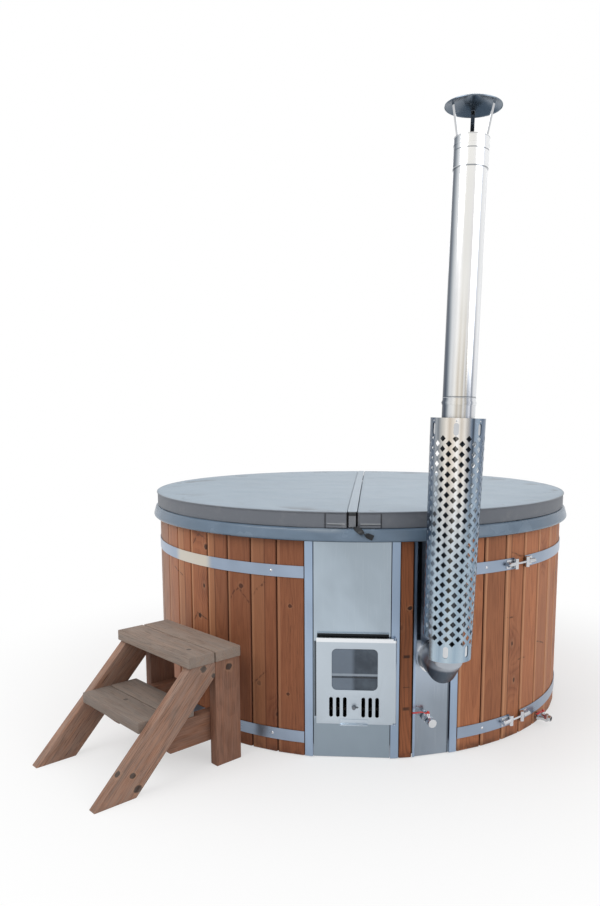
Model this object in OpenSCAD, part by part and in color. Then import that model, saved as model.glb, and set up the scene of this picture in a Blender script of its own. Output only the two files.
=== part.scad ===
// Round wooden hot tub with a built-in wood stove, an outside flue with a pierced heat
// shield, a two-part folding cover and free-standing steps. Millimetres, +Z up.
// The origin is on the tub's axis at ground level, and the stove door faces -Y.
// Angles called az are counted from the front (-Y) towards the right (+X).

/* [Tub] */
// Diameter across the outer faces of the boards
tub_d = 1998; // [1700:2:2200]
// Height of the top of the moulded rim
tub_h = 946; // [900:1:1050]
// Height of the rim's hanging lip
rim_lip = 52; // [40:1:70]
// How far the lip stands out past the boards
rim_out = 31; // [26:1:45]
// Number of joists under the floor
joist_n = 7; // [5:1:9]
// Height of a joist
joist_h = 45; // [35:1:70]
// Width of a joist
joist_w = 95; // [60:1:120]
// Thickness of the floor board
floor_t = 18; // [12:1:27]
// Thickness of the ring that carries the rim
ring_t = 34; // [25:1:42]

/* [Boards] */
// Number of full-width boards round the tub
board_n = 47; // [36:1:56]
// Thickness of a board
board_t = 28; // [24:1:36]
// Open joint between two boards
board_gap = 4; // [2:0.5:8]
// Chamfer along each outer edge of a board
board_chamfer = 5; // [2:0.5:8]
// Thickness of the tongue
tongue_t = 6; // [4:0.5:8]
// Play of the tongue in its groove
tongue_play = 1.6; // [1.4:0.1:2.5]
// Width of the single board between the two steel panels
narrow_board_w = 58; // [40:1:90]
// Height of the boards' lower ends above the ground
board_foot = 4; // [2:1:20]

/* [Hoops] */
// Height of the lower hoop's middle
hoop_low_z = 83; // [75:1:140]
// Height of the upper hoop's middle
hoop_high_z = 766; // [680:1:800]
// Height of a hoop band
hoop_h = 48; // [35:1:50]
// Thickness of a hoop band
hoop_t = 2; // [1.5:0.5:4]
// Direction of the tensioners
tension_az = 44; // [40:1:60]
// Distance between the two tension barrels
barrel_gap = 76; // [60:1:110]
// Radius of a tension barrel
barrel_r = 10; // [8:0.5:12]
// Radius of the tension bolt
bolt_r = 5; // [4:0.5:6]
// Radius of a hoop screw's head
screw_head_r = 6; // [4:0.5:8]

/* [Steel panels] */
// Width of the bay that holds the stove panel
stove_panel_w = 312; // [300:1:340]
// Width of the bay that holds the flue panel
flue_panel_w = 152; // [146:1:190]
// Width of a cover strip beside a panel
strip_w = 33; // [26:1:40]
// Width of the thin edge strip left of the flue panel
edge_strip_w = 10; // [8:1:14]
// Thickness of the strips' sheet
strip_t = 2; // [1:0.5:3]
// Depth of a strip's leg
strip_leg = 14; // [10:1:18]
// Thickness of the panels' sheet
panel_t = 1.5; // [1:0.5:3]
// Depth of a panel behind the strips' line
panel_recess = 6; // [4:1:9]

/* [Stove door] */
// Width of the door
door_w = 306; // [290:1:320]
// Height of the door
door_h = 354; // [320:1:380]
// Height of the door's lower edge
door_z = 152; // [140:1:180]
// Distance of the door's middle to the right of the tub's middle
door_x = 12; // [4:1:16]
// Distance from the panel's face to the door's face
door_proud = 22; // [20:1:28]
// Depth of the door's folded edge
door_fold = 12; // [8:1:12]
// Thickness of the door's sheet
door_t = 2; // [1.5:0.5:3]
// Width of the window
window_w = 183; // [140:1:210]
// Height of the window
window_h = 170; // [120:1:190]
// Corner radius of the window
window_r = 20; // [8:1:30]
// Height of the window's middle above the door's lower edge
window_up = 226; // [215:1:240]
// Thickness of the glass
glass_t = 4; // [3:0.5:5]
// Overlap of the glass behind the window's edge
glass_lap = 11; // [8:1:16]
// Width of an air slot
air_slot_w = 15; // [10:0.5:16]
// Length of an air slot
air_slot_h = 83; // [60:1:90]
// Spacing of the air slots
air_slot_pitch = 27.5; // [26:0.5:32]
// Distance from the knob to the first air slot
air_slot_first = 37; // [32:1:42]
// Height of the air slots' middle above the door's lower edge
air_slot_up = 70; // [62:1:78]
// Radius of the air knob
air_knob_r = 9; // [7:0.5:11]
// Radius of the hinge rod
hinge_rod_r = 3; // [2.5:0.5:4]
// Width of the pull tab
pull_w = 110; // [70:1:140]
// How far the pull tab stands out
pull_out = 20; // [12:1:28]
// Height of the gap over the door
door_slot_h = 16; // [10:1:24]

/* [Stove] */
// Clear width of the firebox
firebox_w = 264; // [230:1:268]
// Clear height of the firebox
firebox_h = 348; // [300:1:352]
// Depth of the firebox behind the panel
firebox_d = 370; // [300:1:380]
// Thickness of the firebox plates
firebox_t = 4; // [3:0.5:6]
// Space between the firebox and the water jacket
jacket_gap = 31; // [20:1:33]
// Thickness of the jacket's sheet
jacket_t = 3; // [2:0.5:4]
// Number of slots in the fire grate
grate_slots = 11; // [7:1:15]
// Outer radius of a circulation pipe
circ_r = 25; // [16:1:28]

/* [Flue] */
// Height of the flue's horizontal run
flue_z = 420; // [410:1:424]
// Outer diameter of the flue pipe
flue_d = 120; // [110:1:126]
// Wall of the flue pipe
flue_t = 1.5; // [1:0.5:2.5]
// Direction of the horizontal run
flue_yaw = 12.2; // [9:0.1:18]
// Distance from the boards' line to the upright pipe's axis
flue_reach = 158; // [150:1:200]
// Lean of the upright pipe to the right
flue_lean = 1.57; // [0:0.01:3]
// Centre-line radius of the elbow
elbow_r = 78; // [70:1:95]
// Height of the pipe joint above the horizontal run
joint_up = 1005; // [970:1:1200]
// Height of the flue's top above the horizontal run
flue_top = 1917; // [1600:1:2300]
// Length of the top sleeve
sleeve_l = 108; // [90:1:150]

/* [Heat shield] */
// Outer radius at the shield's top
shield_top_r = 100; // [92:0.5:108]
// Outer radius at the shield's bottom
shield_low_r = 92; // [88:0.5:100]
// Thickness of the shield's sheet
shield_t = 1.5; // [1:0.5:2.5]
// Height of the shield's bottom above the horizontal run
shield_up = 54.5; // [50:0.5:70]
// Length of the shield
shield_l = 896.5; // [700:0.5:910]
// Angle of the open back
shield_open = 60; // [50:1:90]
// Turn of the shield against the horizontal run
shield_yaw = 6.5; // [-12:0.5:12]
// Angle from the shield's middle to each side of the notch that clears the elbow
notch_az = 69.5; // [60:0.5:75]
// Height of the notch
notch_h = 84; // [70:1:110]
// Width of a diamond hole
diamond_w = 22.5; // [14:0.5:24]
// Height of a diamond hole
diamond_h = 24; // [16:0.5:26]
// Angle between two holes of a row
diamond_az = 27.5; // [26:0.5:36]
// Height from one row to the next
diamond_row = 18.3; // [18:0.1:24]
// Distance from each end of the shield to its first row
shield_band = 72.4; // [66:0.1:100]
// Width of a bracket slot
slot_w = 18.6; // [12:0.1:20]
// Height of a bracket slot
slot_h = 44; // [30:1:48]
// Distance from an end of the shield to a slot's middle
slot_in = 39.7; // [30:0.1:44]
// Radius of a bracket's rod
bracket_r = 4; // [3:0.5:6]

/* [Rain cap] */
// Radius of the cap's rim
cap_r = 97; // [92:1:130]
// Height of the cap's cone
cap_h = 43; // [25:1:60]
// Height of the cap's rim above the flue's top
cap_up = 105; // [70:1:140]
// Width of a cap leg
cap_leg_w = 14; // [10:1:20]
// Thickness of a cap leg
cap_leg_t = 2; // [1.5:0.5:3]
// Distance from the axis to a leg's upper end
cap_leg_reach = 82; // [74:1:88]
// Turn of the legs against the horizontal run
cap_leg_turn = -18; // [-60:1:60]

/* [Drain valves] */
// Height of the stove drain
stove_drain_z = 170; // [150:1:220]
// Height of the tub drain
tub_drain_z = 35; // [30:0.5:38]
// Direction of the tub drain
tub_drain_az = 55.2; // [50:0.1:75]
// Outer radius of the drain pipes' thread
drain_r = 13.2; // [10:0.1:15]
// Distance from the wall to the valve's stem
valve_out = 34; // [30:1:45]
// Length of a valve lever
lever_l = 68; // [50:1:90]
// Width of a valve lever
lever_w = 14; // [10:1:18]

/* [Liner] */
// Thickness of the moulded liner
liner_t = 6; // [4:0.5:8]
// Radius of the foot well
well_r = 560; // [500:1:600]
// Height of the bench
bench_z = 420; // [380:1:480]
// Clear width of the stove bay left of the tub's middle
bay_left = 200; // [190:1:260]
// Clear width of the stove bay right of the tub's middle
bay_right = 400; // [385:1:430]
// Height of the stove bay's ceiling
bay_h = 600; // [570:1:700]
// Gap between the liner's wall and the boards at bench height
wall_gap = 60; // [45:1:90]

/* [Cover] */
// How far the cover's edge stays inside the rim's outer edge
cover_in = 17; // [8:1:30]
// Thickness of the cover at its edge
cover_t = 66; // [50:1:100]
// Extra thickness of the cover at its middle
cover_crown = 6; // [2:1:20]
// Width of the gap between the two halves
cover_gap = 38; // [30:1:50]
// Thickness of the folding strip and the pockets
cloth_t = 2.5; // [1.5:0.5:4]
// Radius of the piping along the cover's edge
piping_r = 4; // [2.5:0.5:6]
// Width of a hand pocket
pocket_w = 90; // [70:1:120]

/* [Steps] */
// Width of the steps over their sides
steps_w = 522; // [440:1:700]
// Direction in which the steps face the tub
steps_yaw = -42.4; // [-60:0.1:-38]
// Sideways place of the steps' middle
steps_side = 89; // [0:1:120]
// Distance from the boards to the back of the steps
steps_back = 47; // [42:1:200]
// Width of the planks
plank_w = 120; // [95:1:125]
// Thickness of the planks
plank_t = 43; // [34:1:48]
// Height of the underside of the upper tread
tread_high = 430; // [400:1:470]
// Height of the underside of the lower tread
tread_low = 217; // [200:1:235]
// Slope of the raking sides
rake = 46; // [43:0.5:50]
// Gap between the two planks of a tread
tread_gap = 6; // [3:1:10]
// Overhang of the upper tread past the sides
tread_side = 6; // [2:1:15]
// Overhang of a tread's front past what carries it
tread_nose = 15; // [5:1:45]

/* [Hidden] */
$fn = 72;
fit = 0.3;                                   // clearance of one piece beside another
seat = 0.1;                                  // gap where two pieces are screwed together
pin_play = 0.05;                             // running clearance of a turning pin
over = 1;                                    // how far a cut runs past a face

// --- Sizes worked out from the driving dimensions ---
board_r = tub_d / 2;
board_in = board_r - board_t;
floor_top = joist_h + floor_t;
ring_top = tub_h - liner_t;
ring_low = ring_top - ring_t;
ring_r = board_r + 5;
lip_low = tub_h - rim_lip;
rim_r = board_r + rim_out;
drain_at = well_r - 140;                     // distance from the axis to the tub's outlet
wall_low_r = board_r - wall_gap - board_t - liner_t;
wall_top_r = wall_low_r + 20;
floor_r = board_in - fit;

function chord_az(w) = 2 * asin(w / 2 / board_r);
function polar(r, az) = [r * sin(az), -r * cos(az)];
function turned(p, a) = [p.x * cos(a) - p.y * sin(a), p.x * sin(a) + p.y * cos(a)];
function arc(c, r, a0, a1, n) = [for (i = [0:n]) c + r * [cos(a0 + (a1 - a0) * i / n),
                                                        sin(a0 + (a1 - a0) * i / n)]];

stove_half_az = chord_az(stove_panel_w) / 2;
strip_az = chord_az(strip_w);
narrow_az0 = stove_half_az + strip_az;
narrow_az1 = narrow_az0 + chord_az(narrow_board_w);
flue_az0 = narrow_az1 + chord_az(edge_strip_w);
flue_az1 = flue_az0 + chord_az(flue_panel_w);
flue_az = (flue_az0 + flue_az1) / 2;
boards_az0 = flue_az1 + strip_az;
boards_az1 = 360 - narrow_az0;
board_az = (boards_az1 - boards_az0) / board_n;

strip_r = board_r + 1.5;                     // outer face of the cover strips
panel_y = board_r * cos(stove_half_az) - panel_recess;
flue_panel_y = board_r * cos(chord_az(flue_panel_w) / 2) - panel_recess;
panel_side = 2.8;                            // from a bay's edge to its panel's edge
panel_low = 3;

hoop_r = board_r + 2.4;                      // inner face of the hoop bands
hoop_out = hoop_r + hoop_t;
barrel_out = hoop_out + fit + barrel_r;
barrel_h = hoop_h - 4;
sleeve_w = 36;                               // length of a bolt sleeve
sleeve_at = barrel_r + sleeve_w / 2 - over;  // from a barrel to its sleeve's middle
hoop_screw_az = [-19, 32.7];

door_y = panel_y + door_proud;
door_top = door_z + door_h;
door_left = door_x - door_w / 2;
door_right = door_x + door_w / 2;
hinge_x = door_right + 7;
hinge_y = door_y - 4.8;
knuckle_r = hinge_rod_r + 2.5;
window_z = door_z + window_up;
air_z = door_z + air_slot_up;
air_travel = air_slot_pitch / 2;
air_x = [for (s = [-1, 1], i = [0:2]) door_x - 2 + s * (air_slot_first + i * air_slot_pitch)];
opening_w = 286;
stove_x = 4;
opening_z = door_z + 8;

firebox_z = door_z - 4;
firebox_front = panel_y - panel_t;
firebox_back = firebox_front - firebox_d;
flange_t = 6;
flange_half = stove_panel_w / 2 - stove_x - 3;
jacket_front = firebox_front - 22;
jacket_back = firebox_back - jacket_gap;
jacket_half = firebox_w / 2 + firebox_t + jacket_gap + jacket_t;
jacket_low = firebox_z - firebox_t - jacket_gap - jacket_t;
jacket_top = firebox_z + firebox_h + firebox_t + jacket_gap + jacket_t;
grate_z = firebox_z + 38;
grate_t = 12;
ledge_t = 8;

bay_back = jacket_back - jacket_t - 12;      // clear back face of the stove bay
circ_x = 45;
circ_z = [firebox_z + 30, firebox_z + firebox_h - 20];

flue_r = flue_d / 2;
flue_in = flue_r - flue_t;
socket_r = flue_r + fit + flue_t;
socket_l = 30;
duct_r = 50;
duct_y = (jacket_front + jacket_back) / 2 - 30;
smoke_x0 = stove_x + jacket_half + fit;
smoke_x1 = bay_right - 24;
smoke_half = flue_r + 10;
smoke_front = duct_y + 78;
smoke_back = duct_y - 72;
// how far the stub reaches in from the boards' line, to end inside the smoke box
stub_in = (board_r * cos(flue_az) - smoke_front) / cos(flue_yaw) + 25;
sleeve_low = flue_top - sleeve_l;
cap_z = flue_top + cap_up;
cone_t = 1.2;

shield_top = shield_up + shield_l;
shield_half = 180 - shield_open / 2;
slots_high = [for (i = [-1.5:1:1.5]) 2 * i * diamond_az];
slots_low = [for (a = slots_high) if (abs(a) + 10 < notch_az) a];
slots = concat([for (a = slots_high) [a, shield_top - slot_in]],
               [for (a = slots_low) [a, shield_up + slot_in]]);
diamond_rows = 2 * floor((shield_l - 2 * shield_band) / diamond_row / 2) + 1;
diamond_z0 = shield_up + (shield_l - diamond_rows * diamond_row) / 2;

stove_valve_x = -31;
valve_r = 16;
stem_h = 26;
lever_t = 2.5;

cover_r = rim_r - cover_in;
cover_low = tub_h + fit;
cover_edge = cover_low + cover_t;
cover_top = cover_edge + cover_crown;
cover_foot = 6;                              // rounding of the cover's lower edge
pocket_low = cover_low + cover_foot + 5;
pocket_h = cover_t - cover_foot - 3 * piping_r - 9;
rim_roll = 14;                               // rounding of the moulded rim

post_x = steps_w / 2 - plank_t;
post_back = -board_r - steps_back;
post_front = post_back - plank_w;
rail_low = tread_low - plank_w;
upper_front = post_front - plank_w - tread_gap;
rake_top = upper_front + tread_nose;
rake_foot = rake_top - tread_high / tan(rake);
rail_front = rake_foot + tread_low / tan(rake) + 12;

module at_az(a) rotate([0, 0, a]) children();

module obround(w, h) {
    square([w, h - w], center = true);
    for (s = [-1, 1]) translate([0, s * (h - w) / 2]) circle(d = w, $fn = 32);
}

module rounded_rect(w, h, r) {
    square([w - 2 * r, h], center = true);
    square([w, h - 2 * r], center = true);
    for (x = [-1, 1], y = [-1, 1]) translate([x * (w / 2 - r), y * (h / 2 - r)]) circle(r);
}

// Extrudes an outline drawn in X and Z towards +Y, from y0 over a length
module wall_cut(y0, l) translate([0, y0 + l, 0]) rotate([90, 0, 0]) linear_extrude(l) children();

module ring(r_out, r_in, h) difference() {
    cylinder(r = r_out, h = h);
    translate([0, 0, -over]) cylinder(r = r_in, h = h + 2 * over);
}

// A band round the tub between two directions
module band(r_in, t, h, az0, az1) rotate_extrude(angle = az1 - az0, start = az0 - 90, $fn = 180)
    translate([r_in, -h / 2]) square([t, h]);

// --- Floor and carcass ---

module base_joists() color("burlywood") difference() {
    pitch = (2 * floor_r - joist_w) / (joist_n + 1);
    for (i = [1:joist_n]) intersection() {
        translate([-floor_r + i * pitch, -floor_r, 0]) cube([joist_w, 2 * floor_r, joist_h]);
        cylinder(r = floor_r - 12, h = joist_h, $fn = 180);
    }
    at_az(tub_drain_az) translate([-drain_r - 5, -board_r, tub_drain_z - drain_r - 5])
        cube([2 * drain_r + 10, board_r - drain_at + 2 * drain_r, joist_h]);
}

module floor_board() color("tan") difference() {
    translate([0, 0, joist_h]) cylinder(r = floor_r, h = floor_t, $fn = 180);
    translate(concat(polar(drain_at, tub_drain_az), joist_h - over))
        cylinder(r = drain_r + 1, h = floor_t + 2 * over);
    at_az(tub_drain_az) translate([0, -drain_at, tub_drain_z]) rotate([90, 0, 0])
        cylinder(r = drain_r + 1, h = board_r);
}

// The ring stands on the boards' ends and carries the rim
module top_ring() color("tan") translate([0, 0, ring_low]) difference() {
    cylinder(r = ring_r, h = ring_t, $fn = 180);
    translate([0, 0, -over]) cylinder(r = wall_top_r + liner_t + 11, h = ring_t + 2 * over, $fn = 180);
}

// --- Liner: bowl, bench, stove bay and rolled rim in one moulding ---

module liner_profile() {
    t = liner_t;
    lip_r = 6;
    polygon(concat(
        [[0, floor_top], [well_r + t, floor_top], [well_r + t, bench_z - t],
         [wall_low_r + t, bench_z - t], [wall_top_r + t, ring_top - 12]],
        [[wall_top_r + t + 4, ring_top - 2], [wall_top_r + t + 10, ring_top]],
        [[rim_r - rim_roll - t - 6, ring_top], [rim_r - rim_roll - t, ring_top - 5]],
        [[rim_r - lip_r * 2 - 5, lip_low + 14]],
        arc([rim_r - lip_r - 6, lip_low + lip_r], lip_r, 180, 270, 4),
        arc([rim_r - lip_r - 4, lip_low + lip_r + 4], lip_r + 4, 290, 370, 6),
        arc([rim_r - rim_roll - 8, tub_h - rim_roll], rim_roll, 10, 90, 6),
        arc([wall_top_r + 12, tub_h - 12], 12, 90, 180, 5),
        [[wall_low_r, bench_z + 14]],
        arc([wall_low_r - 14, bench_z + 14], 14, 0, -90, 4),
        arc([well_r + 12, bench_z - 12], 12, 90, 180, 4),
        [[well_r, floor_top + t + 20]],
        arc([well_r - 20, floor_top + t + 20], 20, 0, -90, 4),
        [[0, floor_top + t]]));
}

module bay_box(grow) translate([-bay_left - grow, -board_r, floor_top - over])
    cube([bay_left + bay_right + 2 * grow, board_r - bay_back + grow,
          bay_h - floor_top + grow + over]);

module liner() color("slategray") difference() {
    union() {
        rotate_extrude($fn = 180) liner_profile();
        intersection() {
            bay_box(liner_t);
            translate([0, 0, floor_top]) cylinder(r = wall_low_r + liner_t / 2, h = bay_h, $fn = 180);
        }
    }
    bay_box(0);
    for (i = [0, 1]) translate([(2 * i - 1) * circ_x, -bay_back - over, circ_z[i]])
        rotate([-90, 0, 0]) cylinder(r = circ_r + fit, h = liner_t + 30);
    translate(concat(polar(drain_at, tub_drain_az), floor_top - over))
        cylinder(r = drain_r + fit, h = liner_t + 2 * over);
}

// --- Boards ---

// Plan of one board, drawn at the front: tongue on its right, groove on its left
module board_plan(span, joined) {
    function half(r) = r * tan(span / 2) - board_gap / 2;
    function side(s, r, dx = 0) = [s * (half(r) + dx), -r];
    r_c = board_r - board_chamfer;
    r_1 = board_r - board_t / 2 + tongue_t / 2;
    r_2 = r_1 - tongue_t;
    reach = board_gap + 6;
    deep = reach - board_gap + tongue_play;
    g_1 = r_1 + tongue_play;
    g_2 = r_2 - tongue_play;
    polygon(concat(
        [side(1, board_r, -board_chamfer), side(1, r_c)],
        joined ? [side(1, r_1), side(1, r_1, reach), side(1, r_2, reach), side(1, r_2)] : [],
        [side(1, board_in), side(-1, board_in)],
        joined ? [side(-1, g_2), side(-1, g_2, -deep), side(-1, g_1, -deep), side(-1, g_1)] : [],
        [side(-1, r_c), side(-1, board_r, -board_chamfer)]));
}

module one_board(az, span, joined) at_az(az) translate([0, 0, board_foot])
    linear_extrude(ring_low - board_foot) board_plan(span, joined);

module boards() color("sienna") difference() {
    for (i = [0:board_n - 1]) one_board(boards_az0 + (i + 0.5) * board_az, board_az, true);
    at_az(tub_drain_az) translate([0, -board_in + over, tub_drain_z]) rotate([90, 0, 0])
        cylinder(r = drain_r + 1.5, h = board_t + 2 * over);
}

module narrow_board() color("sienna")
    one_board((narrow_az0 + narrow_az1) / 2, narrow_az1 - narrow_az0, false);

// --- Hoops and tensioners ---

module hoop(z) {
    cut_az = asin(barrel_gap / 2 / hoop_r);
    color("lightsteelblue") difference() {
        translate([0, 0, z]) {
            band(hoop_r, hoop_t, hoop_h, boards_az0 + 0.15, tension_az - cut_az);
            band(hoop_r, hoop_t, hoop_h, tension_az + cut_az, boards_az1 - 0.15);
        }
        for (a = hoop_screw_az) at_az(a) translate([0, -hoop_r + over, z]) rotate([90, 0, 0])
            cylinder(r = screw_head_r / 2 + fit, h = hoop_t + 2 * over);
    }
}

module upper_hoop() hoop(hoop_high_z);
module lower_hoop() hoop(hoop_low_z);

// A barrel on a strap that lies on its hoop's end, with a sleeve and a hole for the bolt
module lug(side) {
    strap_t = 2.5;
    strap_az = [asin(barrel_gap / 2 / hoop_out), asin((barrel_gap / 2 + 50) / hoop_out)];
    difference() {
        union() {
            translate([side * barrel_gap / 2, -barrel_out, -barrel_h / 2])
                cylinder(r = barrel_r, h = barrel_h, $fn = 48);
            band(hoop_out + seat, strap_t, barrel_h - 8, side > 0 ? strap_az[0] : -strap_az[1],
                 side > 0 ? strap_az[1] : -strap_az[0]);
            translate([side * (barrel_gap / 2 + sleeve_at), -barrel_out, 0]) rotate([0, 90, 0])
                cylinder(r = bolt_r + 3.5, h = sleeve_w, center = true, $fn = 48);
        }
        translate([0, -barrel_out, 0]) rotate([0, 90, 0])
            cylinder(r = bolt_r + fit, h = barrel_gap + 4 * sleeve_w, center = true, $fn = 32);
    }
}

module lugs(z) color("silver") at_az(tension_az) translate([0, 0, z]) for (s = [-1, 1]) lug(s);
module upper_hoop_lugs() lugs(hoop_high_z);
module lower_hoop_lugs() lugs(hoop_low_z);

module tension_bolt(z) {
    nut_h = 8;
    nut_at = barrel_gap / 2 + sleeve_at + sleeve_w / 2 + seat + nut_h / 2;
    color("gainsboro") at_az(tension_az) translate([0, -barrel_out, z]) rotate([0, 90, 0]) {
        cylinder(r = bolt_r, h = 2 * (nut_at + nut_h), center = true, $fn = 32);
        for (s = [-1, 1]) translate([0, 0, s * nut_at])
            cylinder(r = bolt_r * 1.9, h = nut_h, center = true, $fn = 6);
    }
}

module upper_hoop_bolt() tension_bolt(hoop_high_z);
module lower_hoop_bolt() tension_bolt(hoop_low_z);

module hoop_screws() color("whitesmoke")
    for (z = [hoop_low_z, hoop_high_z], a = hoop_screw_az)
        at_az(a) translate([0, -hoop_out - 0.1, z]) rotate([90, 0, 0]) {
            difference() {
                translate([0, 0, -screw_head_r * 0.7]) sphere(r = screw_head_r * 1.22, $fn = 32);
                translate([0, 0, -20]) cube(40, center = true);
            }
            translate([0, 0, -hoop_t]) cylinder(r = screw_head_r / 2, h = hoop_t + 0.5, $fn = 24);
        }

// --- Steel panels and their strips ---

// An angle strip over a bay's edge; leg is the side of its leg, or 0 for none
module strip(az0, az1, leg) at_az((az0 + az1) / 2) {
    half = board_r * sin((az1 - az0) / 2) - 0.3;
    translate([-half, -strip_r, board_foot]) cube([2 * half, strip_t, ring_low - fit - board_foot]);
    translate([leg > 0 ? half - strip_t : -half, -strip_r, board_foot])
        cube([strip_t, strip_leg + strip_t, ring_low - fit - board_foot]);
}

module stove_panel_strips() color("lightgray") {
    strip(-narrow_az0, -stove_half_az, 1);
    strip(stove_half_az, narrow_az0, -1);
}

module flue_panel_strips() color("lightgray") {
    strip(narrow_az1, flue_az0, 1);
    strip(flue_az1, boards_az0, -1);
}

module panel_sheet(y, w) translate([-w / 2, -y, panel_low])
    cube([w, panel_t, ring_low - fit - panel_low]);

// The sheet bends outwards in a lip over the gap above the door
module stove_panel() color("lightsteelblue") {
    difference() {
        panel_sheet(panel_y, stove_panel_w - 2 * panel_side);
        translate([stove_x - opening_w / 2, -panel_y - over, opening_z])
            cube([opening_w, panel_t + 2 * over, door_top + door_slot_h - opening_z]);
    }
    translate([stove_x - opening_w / 2, -panel_y - 9, door_top + door_slot_h])
        cube([opening_w, 9, panel_t]);
}

module flue_panel() color("lightsteelblue") difference() {
    at_az(flue_az) panel_sheet(flue_panel_y, flue_panel_w - 2 * panel_side);
    flue_frame() rotate([90, 0, 0]) cylinder(r = flue_r + 2, h = 200, center = true);
    at_az(flue_az) translate([stove_valve_x, -flue_panel_y - 10, stove_drain_z])
        rotate([-90, 0, 0]) cylinder(r = drain_r + 1, h = 20);
}

// --- Stove door ---

module air_slots(y0, l, dx = 0) for (x = air_x)
    translate([x + dx, 0, air_z]) wall_cut(y0, l) obround(air_slot_w, air_slot_h);

// A folded pan with a window, six air slots and a knuckle for the hinge rod
module stove_door() color("aliceblue") difference() {
    union() {
        difference() {
            translate([door_left, -door_y, door_z]) cube([door_w, door_fold, door_h]);
            translate([door_left + door_t, -door_y + door_t, door_z + door_t])
                cube([door_w - 2 * door_t, door_fold, door_h - 2 * door_t]);
        }
        translate([door_right - over, -door_y, door_z + 6])
            cube([hinge_x - door_right + over, door_t, door_h - 12]);
        translate([hinge_x, -hinge_y, door_z + 6]) cylinder(r = knuckle_r, h = door_h - 12, $fn = 40);
    }
    translate([hinge_x, -hinge_y, door_z]) cylinder(r = hinge_rod_r + pin_play, h = door_h, $fn = 40);
    translate([door_x, 0, window_z]) wall_cut(-door_y - over, door_t + 2 * over)
        rounded_rect(window_w, window_h, window_r);
    air_slots(-door_y - over, door_t + 2 * over);
    translate([door_x - 2 + air_travel / 2, 0, air_z]) wall_cut(-door_y - over, door_t + 2 * over)
        rotate(90) obround(7, air_travel + 8);
}

glass_y = door_y - door_t - fit;

module door_glass() color("dimgray", 0.6)
    translate([door_x - window_w / 2 - glass_lap, -glass_y, window_z - window_h / 2 - glass_lap])
        cube([window_w + 2 * glass_lap, glass_t, window_h + 2 * glass_lap]);

// A frame behind the glass, turned forward round its edge
module glass_retainer() color("gray") difference() {
    lap = glass_lap + 3;
    y0 = -glass_y;
    translate([door_x - window_w / 2 - lap, y0, window_z - window_h / 2 - lap])
        cube([window_w + 2 * lap, glass_t + 2, window_h + 2 * lap]);
    translate([door_x - window_w / 2 - glass_lap - fit, y0 - over,
               window_z - window_h / 2 - glass_lap - fit])
        cube([window_w + 2 * (glass_lap + fit), glass_t + fit + over, window_h + 2 * (glass_lap + fit)]);
    translate([door_x, 0, window_z]) wall_cut(y0, glass_t + 4) rounded_rect(window_w, window_h, window_r);
}

module door_pull() color("silver") translate([door_x - 2 - pull_w / 2, -door_y - 2.5 - 0.1, door_z + 2])
    difference() {
        union() {
            cube([pull_w, 2.5, 18]);
            translate([0, -pull_out, 0]) cube([pull_w, pull_out + 2.5, 2.5]);
        }
        for (x = [0.28, 0.72]) translate([pull_w * x, -pull_out / 2 + 1, -over])
            linear_extrude(6) rotate(90) obround(6, 24);
    }

// The air plate behind the slots with the knob that draws it sideways
module air_slide() color("gray") {
    y0 = -door_y + door_t + fit;
    plate_w = 2 * (air_slot_first + 2 * air_slot_pitch) + air_slot_w + 14;
    difference() {
        translate([door_x - 2 - plate_w / 2, y0, air_z - air_slot_h / 2 - 6])
            cube([plate_w, 1.5, air_slot_h + 12]);
        air_slots(y0 - over, 1.5 + 2 * over);
    }
    translate([door_x - 2, y0 + 0.5, air_z]) rotate([90, 0, 0]) {
        cylinder(r = 3, h = door_t + fit + 8, $fn = 32);
        translate([0, 0, door_t + 2 * fit + 0.5])
            cylinder(r1 = air_knob_r, r2 = air_knob_r - 2, h = 12, $fn = 40);
    }
}

module air_slide_guides() color("gray") {
    y0 = -door_y + door_t + 0.1;
    w = door_w - 2 * door_t - 8;
    for (s = [-1, 1]) translate([door_x - w / 2, y0, air_z + s * (air_slot_h / 2 + 6 + fit + 1.5) - 1.5]) {
        cube([w, 4, 3]);
        translate([0, 2.5, s > 0 ? -3 : 0]) cube([w, 1.5, 6]);
    }
}

module hinge_rod() color("silver") translate([hinge_x, -hinge_y, door_z - 3])
    cylinder(r = hinge_rod_r, h = door_h + 6, $fn = 40);

// Two ears on the strip beside the door hold the rod's ends
module hinge_ears() color("lightgray") {
    strip_mid = (stove_half_az + narrow_az0) / 2;
    at = turned([hinge_x, -hinge_y], -strip_mid);
    for (z = [door_z + 0.5, door_top - 4.5]) difference() {
        at_az(strip_mid) union() {
            translate([at.x - knuckle_r, at.y, z]) cube([2 * knuckle_r, -strip_r - 0.1 - at.y, 4]);
            translate([at.x - knuckle_r, -strip_r - 2.1, z - 8]) cube([2 * knuckle_r, 2, 20]);
            translate([at.x, at.y, z]) cylinder(r = knuckle_r + 1, h = 4, $fn = 40);
        }
        translate([hinge_x, -hinge_y, z - over])
            cylinder(r = hinge_rod_r + 0.1, h = 4 + 2 * over, $fn = 40);
    }
}

// --- Stove ---

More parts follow.
